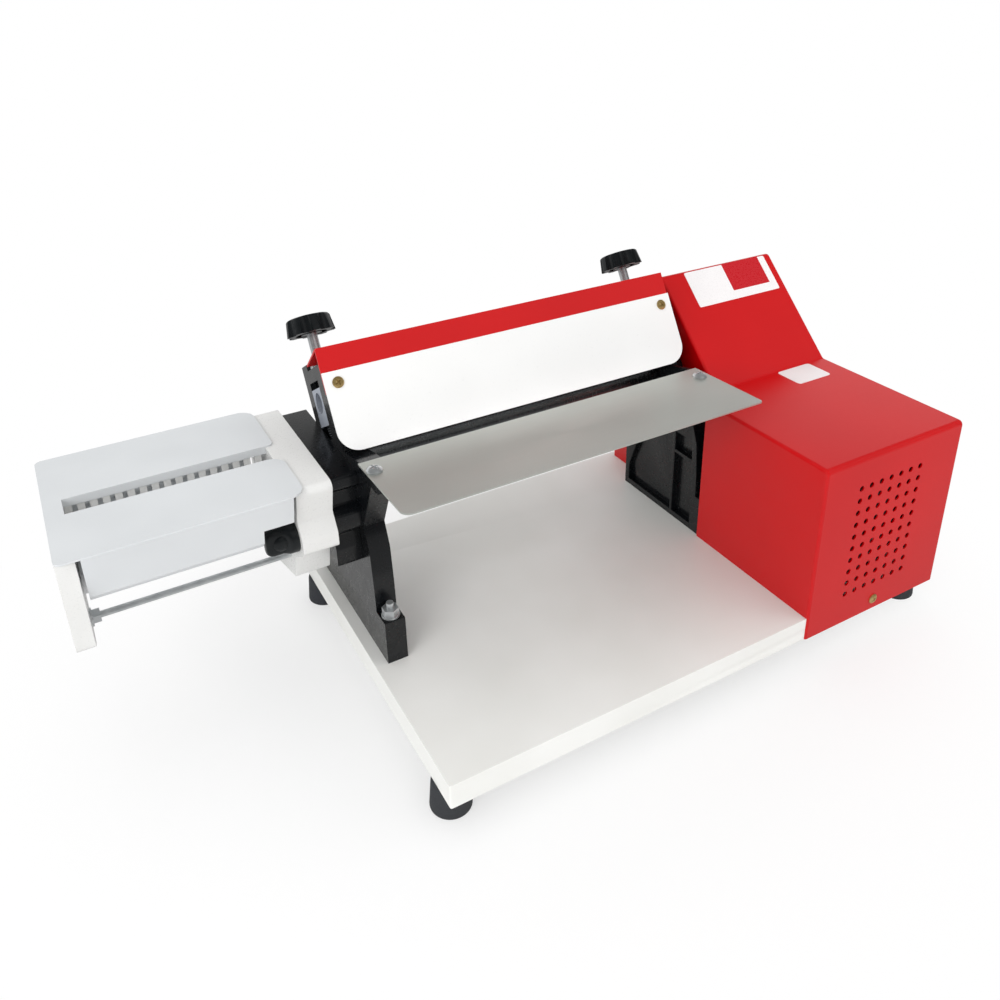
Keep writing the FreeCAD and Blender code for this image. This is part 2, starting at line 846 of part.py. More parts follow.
def housing_outline():
    """Side outline of the housing over the board."""
    return [(-sheet, 0), (-sheet, flat_height), (slope_foot, flat_height),
            (slope_top, slope_top_height), (housing_back, back_shoulder_height), (housing_back, 0)]


def sheets_of(shell):
    """The housing's shell parted into its flat sheets, welded edge to edge on the real machine."""
    reach = 2.0 * board_length
    right_cheek = box(housing_right - edge_round, reach, -reach, reach, -reach, reach)
    left_wall = box(-reach, housing_left + edge_round, -reach, reach, -reach, reach)
    tower_cheek = box(tower_left, tower_left + edge_round, box_back, reach, -reach, reach)
    sheets = [shell.common(zone) for zone in (right_cheek, left_wall, tower_cheek)]
    rest = pierced(shell, [right_cheek, left_wall, tower_cheek])
    places = [-reach, bend_radius, slope_foot - bend_radius, slope_top + bend_radius,
              housing_back - bend_radius, reach]
    for y0, y1 in zip(places[:-1], places[1:]):
        sheets.append(rest.common(box(-reach, reach, y0, y1, -reach, reach)))
    return Part.makeCompound([solid for piece in sheets for solid in piece.Solids])


def rounded_ends(body, foot, back):
    """A prism along X with the rims of both ends rounded, but not at its foot or at a free back edge."""
    rims = [edge for edge in body.Edges
            if edge.BoundBox.XLength < skin_clearance and edge.BoundBox.ZMax > foot + skin_clearance
            and edge.BoundBox.YMin < back - skin_clearance]
    return body.makeFillet(edge_round, rims)


def make_housing():
    """The sheet cover: a front box and a narrower tower, with vents and openings."""
    box_outline = [(-sheet, -board_thick), (-sheet, flat_height), (box_back, flat_height),
                   (box_back, -board_thick)]
    front_box = rounded_ends(prism_yz(box_outline, housing_left, housing_right, [0, bend_radius, 0, 0]),
                             -board_thick, box_back)
    reach = 2.0 * board_length
    front_box = front_box.cut(box(-reach, reach, 0, reach, -reach, 0))
    tower_radii = [0, bend_radius, bend_radius, bend_radius, bend_radius, 0]
    tower = rounded_ends(prism_yz(housing_outline(), tower_left, housing_right, tower_radii), 0, reach)
    hollow_outline = [(0, -overrun), (0, flat_height - sheet), (box_back, flat_height - sheet),
                      (box_back, -overrun)]
    inner_bend = bend_radius - sheet
    box_hollow = prism_yz(hollow_outline, housing_left + sheet, housing_right - sheet,
                          [0, inner_bend, 0, 0])
    open_back = box(housing_left + sheet, tower_left, box_back - overrun, box_back + overrun,
                    -overrun, flat_height - sheet)
    inner_points = inset(housing_outline(), sheet)
    inner_points[0] = (inner_points[0][0], -overrun)
    inner_points[-1] = (inner_points[-1][0], -overrun)
    inner_radii = [0, inner_bend, bend_radius + sheet, inner_bend, inner_bend, 0]
    tower_hollow = prism_yz(inner_points, tower_left + sheet, housing_right - sheet, inner_radii)
    shell = pierced(fused([front_box, tower]), [box_hollow, open_back, tower_hollow])
    side_skirt = box(board_length, housing_right, 0, housing_back - edge_round, -board_thick, 0)
    shell = fused([shell, side_skirt])
    wall_in = tower_left - overrun / 2.0
    wall_out = tower_left + sheet + overrun / 2.0
    hole_radius = journal_radius + shaft_hole_gap
    shaft_slot = leaned(box(wall_in, wall_out, roller_depth - hole_radius, roller_depth + hole_radius,
                            upper_rise - hole_radius, upper_rise + hole_radius + opening_travel))
    holes = [rod_x(wall_in, wall_out, lower_y, lower_z, hole_radius), shaft_slot,
             rod_x(wall_in, wall_out, counter_y, counter_z, counter_radius + shaft_hole_gap)]
    vents = []
    for column in range(vent_columns):
        for row in range(vent_rows):
            x = housing_left + vent_from_left + column * vent_pitch
            z = vent_top - row * vent_pitch
            vents.append(rod_y(x, -sheet - overrun, overrun, z, vent_radius))
    holes.append(Part.makeCompound(vents))
    holes.append(rod_y(front_screw_x, -sheet - overrun, overrun, -housing_screw_drop,
                       wood_screw_radius + fit_clearance))
    for y in side_screw_places:
        holes.append(rod_x(board_length - overrun, housing_right + overrun, y, -housing_screw_drop,
                           wood_screw_radius + fit_clearance))
    holes.append(box(board_length - overrun, housing_right + overrun,
                     switch_y - switch_width / 2.0 + bezel_thick,
                     switch_y + switch_width / 2.0 - bezel_thick,
                     switch_z - switch_height / 2.0 + bezel_thick,
                     switch_z + switch_height / 2.0 - bezel_thick))
    holes.append(rod_y(gland_x, housing_back - sheet - overrun, housing_back + overrun, gland_z,
                       gland_thread_radius + fit_clearance))
    return sheets_of(pierced(shell, holes))


def make_brass_screw_front():
    """The screw low in the front face of the housing."""
    head = rod_y(front_screw_x, -sheet - guard_screw_rise, -sheet, -housing_screw_drop,
                 guard_screw_head)
    shank = rod_y(front_screw_x, -sheet, wood_screw_bite, -housing_screw_drop, wood_screw_radius)
    return fused([head, shank])


def make_brass_screw_side(y):
    """One of the screws low in the right side of the housing."""
    head = rod_x(housing_right, housing_right + guard_screw_rise, y, -housing_screw_drop,
                 guard_screw_head)
    shank = rod_x(board_length - wood_screw_bite, housing_right, y, -housing_screw_drop,
                  wood_screw_radius)
    return fused([head, shank])


slope_degrees = math.degrees(math.atan2(slope_top_height - flat_height, slope_top - slope_foot))


def make_slope_label():
    """The blank plate near the top of the slope."""
    run = math.hypot(slope_top - slope_foot, slope_top_height - flat_height)
    top = run - slope_label_drop
    corners = [(slope_label_left, top - slope_label_height), (slope_label_left, top),
               (slope_label_left + slope_label_length, top),
               (slope_label_left + slope_label_length, top - slope_label_height)]
    label = prism_xy(corners, 0, label_thick, [label_corner] * 4)
    label.rotate(Vector(0, 0, 0), Vector(1, 0, 0), slope_degrees)
    label.translate(Vector(0, slope_foot, flat_height))
    return label


def make_rating_label():
    """The small blank plate on the flat top."""
    x1 = rating_label_left + rating_label_length
    y1 = rating_label_front + rating_label_depth
    corners = [(rating_label_left, rating_label_front), (rating_label_left, y1), (x1, y1),
               (x1, rating_label_front)]
    return prism_xy(corners, flat_height, flat_height + label_thick, [label_corner * 2.0] * 4)


nodes["housing_cover"] = make_housing()
nodes["housing_screws"] = Part.makeCompound([make_brass_screw_front()]
                                            + [make_brass_screw_side(y) for y in side_screw_places])
nodes["slope_label"] = make_slope_label()
nodes["rating_label"] = make_rating_label()


# Guard, cover and tray

def make_guard():
    """The white guard plate in front of the rollers, square above and rounded below."""
    corners = [(guard_left, 0), (guard_left, guard_height), (guard_right, guard_height),
               (guard_right, 0)]
    radii = [guard_corner, 0, 0, guard_corner]
    plate = leaned(prism_xz(corners, 0, guard_thick, radii))
    return pierced(plate, [guard_screw_cutter(x) for x in guard_screw_xs])


def make_top_cover():
    """The folded cover whose leaf falls away behind the ridge."""
    low = guard_height - cover_overlap
    leaf_end = (guard_thick + cover_leaf_depth, cover_ridge - cover_leaf_fall)
    profile = folded([(guard_thick, low), (guard_thick, cover_ridge), leaf_end], guard_thick)
    cover = prism_yz(profile, guard_left, guard_right)
    return pierced(leaned(cover), [guard_screw_cutter(x) for x in guard_screw_xs])


def make_guard_screw(x):
    """A brass screw through guard, cover and lug."""
    rise = guard_height - guard_screw_drop
    head = rod_y(x, -guard_screw_rise, 0, rise, guard_screw_head)
    shank = rod_y(x, 0, guard_screw_bite, rise, guard_screw_radius)
    return leaned(fused([head, shank]))


def make_tray():
    """The feed tray, rising slightly to the front, with rounded front corners."""
    top = [(tray_front, tray_back_height + tray_rise), (tray_back, tray_back_height),
           (tray_back, tray_back_height - tray_thick),
           (tray_front, tray_back_height + tray_rise - tray_thick)]
    slab = prism_yz(top, tray_left, tray_right)
    plan = [(tray_left, tray_front), (tray_right, tray_front), (tray_right, tray_back),
            (tray_left, tray_back)]
    mask = prism_xy(plan, 0, head_top * 2.0, [tray_corner_left, tray_corner_right, 0, 0])
    return pierced(slab.common(mask), [tray_screw_hole(x) for x in tray_screw_xs])


def make_tray_screw(x):
    """A pan-head screw that holds the tray to its ear."""
    head = tray_screw_part(x, pan_head_height, 0, pan_head_radius)
    shank = tray_screw_part(x, 0, ear_depth - overrun, guard_screw_radius)
    return fused([head, shank])


def make_scraper():
    """The blade behind the lower roller, from bracket to bracket."""
    reach = (roller_radius + scraper_gap) * math.sqrt(0.5)
    depth = roller_depth + reach
    rise = lower_rise - reach
    return leaned(box(left_bracket_right, right_arm_x, depth, depth + scraper_length,
                      rise - scraper_thick, rise))


nodes["guard_plate"] = make_guard()
nodes["top_cover"] = make_top_cover()
nodes["guard_screws"] = Part.makeCompound([make_guard_screw(x) for x in guard_screw_xs])
nodes["feed_tray"] = make_tray()
nodes["tray_screws"] = Part.makeCompound([make_tray_screw(x) for x in tray_screw_xs])
nodes["lower_scraper"] = make_scraper()


# Rollers, slider blocks and adjusting screws

counter_right = plate_x + plate_thick + overrun
lower_shaft_right = drive_gear_x + drive_gear_width + overrun
upper_shaft_right = sync_gear_x + sync_gear_width + overrun


def make_roller(y, z, shaft_left, shaft_right):
    """A hollow steel roller with its end discs and stub shafts."""
    tube = rod_x(roller_left, roller_right, y, z, roller_radius)
    cavity = rod_x(roller_left + end_disc_thick, roller_right - end_disc_thick, y, z,
                   roller_bore_radius)
    left_stub = rod_x(shaft_left, roller_left + end_disc_thick, y, z, journal_radius)
    right_stub = rod_x(roller_right - end_disc_thick, shaft_right, y, z, journal_radius)
    return fused([tube.cut(cavity), left_stub, right_stub])


def make_block(x0):
    """A slider block that carries one end of the upper roller and seats its screw."""
    proud_left = block_proud if x0 > left_bracket_x else 0
    proud_right = block_proud if x0 <= left_bracket_x else 0
    half = slot_width / 2.0 - running_clearance
    block = box(x0 - proud_left, x0 + bracket_thick + proud_right, roller_depth - half,
                roller_depth + half, upper_rise - block_below, upper_rise + block_above)
    bore = rod_x(x0 - overrun, x0 + bracket_thick + overrun, roller_depth, upper_rise,
                 journal_radius + running_clearance)
    seat = rod_z(x0 + bracket_thick / 2.0, roller_depth, upper_rise + block_above - adjust_seat_depth,
                 upper_rise + block_above + overrun, adjust_radius + running_clearance)
    return leaned(pierced(block, [bore, seat]))


def make_adjust_screw(x):
    """The threaded rod between a knob and its slider block."""
    bottom = upper_rise + block_above - adjust_seat_depth + skin_clearance
    return leaned(rod_z(x, roller_depth, bottom, knob_bottom + knob_height - knob_shell, adjust_radius))


def make_knob(x):
    """A hand knob, wide at its rim, with flutes that fade towards its crown, hollow round its hub."""
    top = knob_bottom + knob_height
    body = Part.makeCone(knob_rim_radius, knob_top_radius, knob_height,
                         Vector(x, roller_depth, knob_bottom))
    crown = [edge for edge in body.Edges if edge.BoundBox.ZMin > top - knob_crown]
    body = body.makeFillet(knob_crown, crown)
    cutters = []
    for flute in range(knob_flute_count):
        turn = 2.0 * math.pi * (flute + 0.5) / knob_flute_count
        cutters.append(rod_z(x + knob_flute_reach * math.cos(turn),
                             roller_depth + knob_flute_reach * math.sin(turn),
                             knob_bottom - overrun, top + overrun, knob_flute_radius))
    hollow = rod_z(x, roller_depth, knob_bottom - overrun, top - knob_shell, knob_inner_radius)
    hub = rod_z(x, roller_depth, knob_bottom, top - knob_shell, knob_hub_radius)
    bore = rod_z(x, roller_depth, knob_bottom - overrun, top - knob_shell,
                 adjust_radius + fit_clearance)
    whole = fused([pierced(body, cutters + [hollow]), hub])
    return leaned(whole.cut(bore))


def make_adjust_nut(x):
    """The nut on top of an arm that the adjusting screw turns in."""
    nut = prism_xy(ring_points(x, roller_depth, adjust_nut_across, 6), arm_top,
                   arm_top + adjust_nut_height)
    bore = rod_z(x, roller_depth, arm_top - overrun, arm_top + adjust_nut_height + overrun,
                 adjust_radius + running_clearance)
    return leaned(nut.cut(bore))


def make_spring(x):
    """The coil spring that lifts a slider block off the lower roller, drawn as a stack of rings."""
    bottom = slot_bottom + spring_wire / 2.0
    pitch = (upper_rise - block_below - slot_bottom - spring_wire) / (spring_rings - 1)
    return [leaned(Part.makeTorus(spring_radius, spring_wire / 2.0,
                                  Vector(x, roller_depth, bottom + pitch * index)))
            for index in range(spring_rings)]


def make_bush(x0, x1, y, z, inner):
    """A plain bronze bush."""
    ring = rod_x(x0, x1, y, z, inner + running_clearance + bush_wall)
    return ring.cut(rod_x(x0 - overrun, x1 + overrun, y, z, inner + running_clearance))


arm_screw_xs = (left_bolt_x, right_arm_middle)
nodes["lower_roller"] = make_roller(lower_y, lower_z, input_gear_x - cutter_gear_gap / 2.0,
                                    lower_shaft_right)
nodes["upper_roller"] = make_roller(upper_y, upper_z, left_bracket_x + journal_inset,
                                    upper_shaft_right)
nodes["left_slider_block"] = make_block(left_bracket_x)
nodes["right_slider_block"] = make_block(right_arm_x)
for side, screw_x in zip(("left", "right"), arm_screw_xs):
    nodes[side + "_adjust_screw"] = make_adjust_screw(screw_x)
    nodes[side + "_knob"] = make_knob(screw_x)
nodes["adjust_nuts"] = Part.makeCompound([make_adjust_nut(x) for x in arm_screw_xs])
nodes["block_springs"] = Part.makeCompound([ring for x in arm_screw_xs for ring in make_spring(x)])
nodes["shaft_bushes"] = Part.makeCompound([
    make_bush(left_bracket_x, left_bracket_right, lower_y, lower_z, journal_radius),
    make_bush(right_arm_x, lower_cast_right, lower_y, lower_z, journal_radius),
    make_bush(lower_cast_right - counter_bush_depth, lower_cast_right, counter_y, counter_z,
              counter_radius),
    make_bush(plate_x, plate_x + plate_thick, counter_y, counter_z, counter_radius)])


# Gears, belt drive and motor

sync_bearing = bearing(lower_y, lower_z, upper_y, upper_z)
drive_bearing = bearing(lower_y, lower_z, counter_y, counter_z)
sync_module = roller_spacing / sync_teeth


def mating_phase(angle, teeth):
    """Phase that puts a tooth gap where the other gear has its tooth."""
    return angle + math.pi + math.pi / teeth


def make_drive_gear():
    """The large gear on the lower roller, with lightening holes."""
    wheel = gear(drive_gear_x, drive_gear_width, lower_y, lower_z, drive_teeth, drive_module,
                 drive_bearing, journal_radius + fit_clearance)
    circle = (drive_hub_radius + drive_module * drive_teeth / 2.0) / 2.0
    holes = []
    for index in range(lightening_count):
        turn = 2.0 * math.pi * index / lightening_count
        holes.append(rod_x(drive_gear_x - overrun, drive_gear_x + drive_gear_width + overrun,
                           lower_y + circle * math.cos(turn), lower_z + circle * math.sin(turn),
                           lightening_radius))
    return pierced(wheel, holes)


def make_pulley(y, z, pitch_radius, bore, dished):
    """A flanged pulley; a large one is dished to a thin web."""
    seat_radius = pitch_radius - belt_thick / 2.0 - skin_clearance
    flange_radius = pitch_radius + pulley_flange_rise
    x1 = pulley_x + pulley_width
    body = [rod_x(pulley_x, x1, y, z, seat_radius),
            rod_x(pulley_x, pulley_x + pulley_flange_thick, y, z, flange_radius),
            rod_x(x1 - pulley_flange_thick, x1, y, z, flange_radius)]
    wheel = fused(body)
    cutters = [rod_x(pulley_x - overrun, x1 + overrun, y, z, bore + fit_clearance)]
    if dished:
        side = (pulley_width - pulley_web) / 2.0
        for start in (pulley_x - overrun, x1 - side):
            dish = rod_x(start, start + side + overrun, y, z, seat_radius - pulley_rim)
            cutters.append(dish.cut(rod_x(start - overrun, start + side + 2.0 * overrun, y, z,
                                          pulley_hub_radius)))
    return pierced(wheel, cutters)


def belt_loop(extra, x0, x1):
    """A solid inside the belt run round both pulleys, grown by an extra radius."""
    small = motor_pulley_radius + extra
    large = large_pulley_radius + extra
    run = math.hypot(counter_y - motor_y, counter_z - motor_z)
    heading = bearing(motor_y, motor_z, counter_y, counter_z)
    spread = math.acos((small - large) / run)
    corners = []
    for side, y, z, radius in ((1.0, motor_y, motor_z, small), (1.0, counter_y, counter_z, large),
                               (-1.0, counter_y, counter_z, large), (-1.0, motor_y, motor_z, small)):
        turn = heading + side * spread
        corners.append((y + radius * math.cos(turn), z + radius * math.sin(turn)))
    return fused([prism_yz(corners, x0, x1), rod_x(x0, x1, motor_y, motor_z, small),
                  rod_x(x0, x1, counter_y, counter_z, large)])


def make_belt():
    """The flat belt round both pulleys."""
    x0 = pulley_x + (pulley_width - belt_width) / 2.0
    outer = belt_loop(belt_thick / 2.0, x0, x0 + belt_width)
    return outer.cut(belt_loop(-belt_thick / 2.0, x0 - overrun, x0 + belt_width + overrun))


def motor_bolt_places():
    """Y and Z of the bolts that hold the motor to the drive plate."""
    places = []
    for index in range(motor_bolt_count):
        turn = 2.0 * math.pi * (index + 0.5) / motor_bolt_count
        places.append((motor_y + motor_bolt_circle * math.cos(turn),
                       motor_z + motor_bolt_circle * math.sin(turn)))
    return places


def make_drive_plate():
    """The bent plate that carries the motor and the countershaft."""
    x1 = plate_x + plate_thick
    upright = box(plate_x, x1, plate_front, plate_back, 0, plate_height)
    foot = box(plate_x, plate_x + plate_foot, plate_front, plate_back, 0, plate_thick)
    plate = fused([upright, foot])
    cutters = [rod_x(plate_x - overrun, x1 + overrun, motor_y, motor_z,
                     motor_hub_radius + skin_clearance),
               rod_x(plate_x - overrun, x1 + overrun, counter_y, counter_z,
                     counter_radius + running_clearance + bush_wall + fit_clearance)]
    for y in plate_bolt_places:
        cutters.append(rod_z(plate_bolt_x, y, -overrun, plate_thick + overrun,
                             wood_screw_radius + fit_clearance))
    for y, z in motor_bolt_places():
        cutters.append(rod_x(plate_x - overrun, x1 + overrun, y, z, small_bolt_radius + fit_clearance))
    return pierced(plate, cutters)




def make_motor_casing():
    """The motor's can and its two end bells, hollow round the windings."""
    can = rod_x(motor_x, motor_right, motor_y, motor_z, motor_radius)
    cavity = rod_x(motor_x + motor_bell, motor_right - motor_bell, motor_y, motor_z,
                   motor_radius - motor_wall)
    bore = rod_x(motor_x - overrun, motor_right - motor_bell + overrun, motor_y, motor_z,
                 motor_shaft_radius + running_clearance)
    cutters = [cavity, bore]
    for y, z in motor_bolt_places():
        cutters.append(rod_x(motor_x - overrun, motor_x + motor_bell - overrun / 2.0, y, z,
                             small_bolt_radius + fit_clearance))
    return pierced(can, cutters)


def make_stator():
    """The wound iron ring fixed in the can."""
    ring = rod_x(stator_x, stator_x + stator_length, motor_y, motor_z,
                 motor_radius - motor_wall - fit_clearance)
    return ring.cut(rod_x(stator_x - overrun, stator_x + stator_length + overrun, motor_y, motor_z,
                          stator_bore))


def make_drive_bolts():
    """Small screws: the drive plate to the board and the motor to the plate."""
    screws = []
    for y in plate_bolt_places:
        screws.append(fused([rod_z(plate_bolt_x, y, plate_thick, plate_thick + pan_head_height,
                                   pan_head_radius),
                             rod_z(plate_bolt_x, y, -wood_screw_bite, plate_thick,
                                   wood_screw_radius)]))
    for y, z in motor_bolt_places():
        screws.append(fused([rod_x(plate_x - pan_head_height, plate_x, y, z, small_bolt_head),
                             rod_x(plate_x, motor_x + motor_bell - overrun, y, z,
                                   small_bolt_radius)]))
    return Part.makeCompound(screws)


def make_capacitor():
    """The motor's run capacitor and the clip that holds it down."""
    z = capacitor_radius + clip_wall
    can = rod_y(capacitor_x, capacitor_y, capacitor_y + capacitor_length, z, capacitor_radius)
    middle = capacitor_y + capacitor_length / 2.0
    strap = rod_y(capacitor_x, middle - clip_width / 2.0, middle + clip_width / 2.0, z,
                  capacitor_radius + clip_wall)
    reach = capacitor_radius + clip_ear
    ears = box(capacitor_x - reach, capacitor_x + reach, middle - clip_width / 2.0,
               middle + clip_width / 2.0, 0, clip_wall)
    clip = fused([strap, ears]).cut(rod_y(capacitor_x, capacitor_y, capacitor_y + capacitor_length,
                                          z, capacitor_radius + fit_clearance))
    return Part.makeCompound([can, clip])


nodes["lower_sync_gear"] = gear(sync_gear_x, sync_gear_width, lower_y, lower_z, sync_teeth,
                                sync_module, sync_bearing, journal_radius + fit_clearance)
nodes["upper_sync_gear"] = gear(sync_gear_x, sync_gear_width, upper_y, upper_z, sync_teeth,
                                sync_module, mating_phase(sync_bearing, sync_teeth),
                                journal_radius + fit_clearance)
nodes["drive_gear"] = make_drive_gear()
nodes["countershaft"] = rod_x(lower_cast_right - counter_bush_depth + fit_clearance, counter_right,
                              counter_y, counter_z, counter_radius)
nodes["pinion"] = gear(drive_gear_x - pinion_extra, drive_gear_width + 2.0 * pinion_extra, counter_y,
                       counter_z, pinion_teeth, drive_module,
                       mating_phase(drive_bearing, pinion_teeth), counter_radius + fit_clearance)
nodes["large_pulley"] = make_pulley(counter_y, counter_z, large_pulley_radius, counter_radius, True)
nodes["motor_pulley"] = make_pulley(motor_y, motor_z, motor_pulley_radius, motor_shaft_radius, False)
nodes["drive_belt"] = make_belt()
nodes["drive_plate"] = make_drive_plate()
nodes["motor_casing"] = make_motor_casing()
nodes["motor_stator"] = make_stator()
nodes["motor_shaft"] = rod_x(pulley_x - overrun, motor_right - motor_bell + overrun - fit_clearance,
                             motor_y, motor_z, motor_shaft_radius)
nodes["rotor_core"] = rod_x(stator_x, stator_x + stator_length, motor_y, motor_z, rotor_radius).cut(
    rod_x(stator_x - overrun, stator_x + stator_length + overrun, motor_y, motor_z,
          motor_shaft_radius + fit_clearance))
nodes["drive_bolts"] = make_drive_bolts()
nodes["run_capacitor"] = make_capacitor()


# Power switch and cord gland

rocker_x = housing_right - rocker_sink
rocker_gap_radius = rocker_radius + skin_clearance


def make_switch():
    """The switch body behind the housing wall and its bezel outside."""
    half_width = switch_width / 2.0
    half_height = switch_height / 2.0
    bezel = box(housing_right, housing_right + bezel_thick, switch_y - half_width,
                switch_y + half_width, switch_z - half_height, switch_z + half_height)
    body = box(housing_right - switch_depth, housing_right, switch_y - half_width + bezel_thick,
               switch_y + half_width - bezel_thick, switch_z - half_height + bezel_thick,
               switch_z + half_height - bezel_thick)
    half_rocker = rocker_width / 2.0 + skin_clearance
    well = rod_y(rocker_x, switch_y - half_rocker, switch_y + half_rocker, switch_z, rocker_gap_radius)
    mouth = box(rocker_x, housing_right + overrun + bezel_thick, switch_y - half_rocker,
                switch_y + half_rocker, switch_z - rocker_gap_radius, switch_z + rocker_gap_radius)
    return pierced(fused([bezel, body]), [well, mouth])


def make_rocker():
    """The rocker, a rolled key with two flats, tipped to its off side."""
    half = rocker_width / 2.0
    drum = rod_y(rocker_x, switch_y - half, switch_y + half, switch_z, rocker_radius)
    sides = []
    for sign in (1.0, -1.0):
        flat = box(rocker_x + rocker_flat, rocker_x + 2.0 * rocker_radius, switch_y - rocker_radius,
                   switch_y + rocker_radius, -rocker_radius + switch_z, rocker_radius + switch_z)
        flat.rotate(Vector(rocker_x, 0, switch_z), Vector(0, 1, 0), sign * rocker_travel_degrees)
        sides.append(flat)
    drum = pierced(drum, sides)
    drum.rotate(Vector(rocker_x, 0, switch_z), Vector(0, 1, 0), rocker_travel_degrees / 2.0)
    return drum


def make_gland():
    """The cord gland low in the housing's back, with its nut inside."""
    face = housing_back
    hexagon = prism_xz(ring_points(gland_x, gland_z, gland_across, 6), face, face + gland_hex)
    dome = Part.makeCone(gland_radius, gland_bore + overrun, gland_dome,
                         Vector(gland_x, face + gland_hex, gland_z), Vector(0, 1, 0))
    thread = rod_y(gland_x, face - sheet - gland_nut_thick, face, gland_z, gland_thread_radius)
    nut = prism_xz(ring_points(gland_x, gland_z, gland_across, 6), face - sheet - gland_nut_thick,
                   face - sheet)
    bore = rod_y(gland_x, face - sheet - gland_nut_thick - overrun,
                 face + gland_hex + gland_dome + overrun, gland_z, gland_bore)
    return fused([hexagon, dome, thread, nut]).cut(bore)


nodes["power_switch"] = make_switch()
nodes["switch_rocker"] = make_rocker()
nodes["cord_gland"] = make_gland()


# Strip-cutting head

adapter_right = left_bracket_x
input_bearing = bearing(lower_y, lower_z, front_cutter_y, cutter_z)
input_module = math.hypot(lower_y - front_cutter_y, lower_z - cutter_z) / input_teeth
pair_module = cutter_spacing / pair_teeth
end_plate_left = end_plate_right - end_plate_thick
cutter_left = end_plate_right + cutter_end_gap
cutter_right = block_left - cutter_end_gap


def make_adapter():
    """The ribbed black casting between the left bracket and the cutting head."""
    step = rib_step
    profile = [(head_front + step, head_top), (head_front + step, head_top - 2.0 * step),
               (block_shoulder_front, head_top - 3.0 * step), (block_shoulder_front, block_shoulder_height),
               (head_front + step, block_shoulder_height - step),
               (head_front + step, block_chin_high - step), (block_shoulder_front, block_chin_low),
               (head_front + 2.0 * step, block_neck_height + step),
               (head_front + 2.0 * step, adapter_bottom), (adapter_back - 2.0 * step, adapter_bottom),
               (adapter_back, head_top)]
    radii = [adapter_round] * 9 + [0, 0]
    body = prism_yz(profile, adapter_left, adapter_right, radii)
    bore = rod_x(adapter_left - overrun, adapter_right + overrun, lower_y, lower_z,
                 journal_radius + skin_clearance)
    return body.cut(bore)


def make_end_block():
    """The white end block that holds the cutter's gears."""
    profile = [(head_front, head_top), (block_shoulder_front - rib_step, block_shoulder_height),
               (head_front, block_chin_high), (head_front, block_chin_low),
               (block_neck_front, block_neck_height), (block_toe_front, block_toe_height),
               (block_heel_back, block_heel_height), (head_back - rib_step, block_toe_height),
               (head_back, head_top)]
    radii = [rib_step, rib_step, rib_step, rib_step, rib_step, rib_step, rib_step, rib_step, rib_step]
    body = prism_yz(profile, block_left, adapter_left, radii)
    pocket_radius = pair_module * pair_teeth / 2.0 + pair_module + skin_clearance
    input_radius = input_module * input_teeth / 2.0 + input_module + skin_clearance
    pocket = fused([rod_x(gear_box_left, adapter_left + overrun, front_cutter_y, cutter_z,
                          pocket_radius),
                    rod_x(gear_box_left, adapter_left + overrun, rear_cutter_y, cutter_z,
                          pocket_radius),
                    rod_x(gear_box_left, adapter_left + overrun, lower_y, lower_z, input_radius)])
    cutters = [pocket]
    for y in (front_cutter_y, rear_cutter_y):
        cutters.append(rod_x(block_left - overrun, gear_box_left + overrun, y, cutter_z,
                             cutter_shaft_radius + running_clearance))
    for y in (tie_rod_front_y, tie_rod_rear_y):
        cutters.append(rod_x(block_left - overrun, block_left + tie_rod_bite, y, tie_rod_z,
                             tie_rod_radius + fit_clearance))
    cutters.append(rod_x(block_left - overrun, block_left + lock_shank_length, lock_y, lock_z,
                         lock_shank_radius + running_clearance))
    return pierced(body, cutters)


def make_end_plate():
    """The white plate at the cutter's left end."""
    profile = [(head_front, head_top), (leg_front, leg_height), (block_toe_front, block_toe_height),
               (block_heel_back, block_heel_height), (head_back - rib_step, block_toe_height),
               (head_back, head_top)]
    body = prism_yz(profile, end_plate_left, end_plate_right, [rib_step] * 6)
    cutters = []
    for y in (front_cutter_y, rear_cutter_y):
        cutters.append(rod_x(end_plate_right - head_bearing_depth, end_plate_right + overrun, y,
                             cutter_z, cutter_shaft_radius + running_clearance))
    for y in (tie_rod_front_y, tie_rod_rear_y):
        cutters.append(rod_x(end_plate_right - tie_rod_bite, end_plate_right + overrun, y, tie_rod_z,
                             tie_rod_radius + fit_clearance))
    return pierced(body, cutters)


def make_head_sheet(bend_y, slot_y, apron_y, side):
    """A folded top sheet with its apron; side is 1 for the front sheet and -1 for the rear."""
    high = head_top + top_sheet
    slot_left = end_plate_left + slot_start
    seam_y = (front_plate_back + rear_plate_front) / 2.0
    slot_rounding = plate_corner if side > 0 else slot_corner
    plan = [(end_plate_left, seam_y), (slot_left, seam_y), (slot_left, slot_y), (plate_right, slot_y),
            (plate_right, bend_y), (end_plate_left, bend_y)]
    top = prism_xy(plan, head_top, high, [0, 0, 0, slot_rounding, plate_corner, back_corner])
    line = [(bend_y + side * apron_lip, high), (bend_y, high), (apron_y, apron_foot_z),
            (apron_y + side * apron_lip, apron_foot_z - apron_lip)]
    profile = folded(line, -side * top_sheet)
    apron = prism_yz(profile, end_plate_right + apron_end_gap, block_left - apron_end_gap)
    notch = rod_x(block_left - lock_collar_length - lock_grip_length - overrun, block_left,
                  lock_y - notch_forward, lock_z + notch_up, knob_notch)
    pieces = [top, apron.cut(notch)]
    if side < 0:
        pieces.append(box(end_plate_right, block_left, slot_y, slot_y + top_sheet, head_top - slot_lip,
                          head_top))
    return fused(pieces)


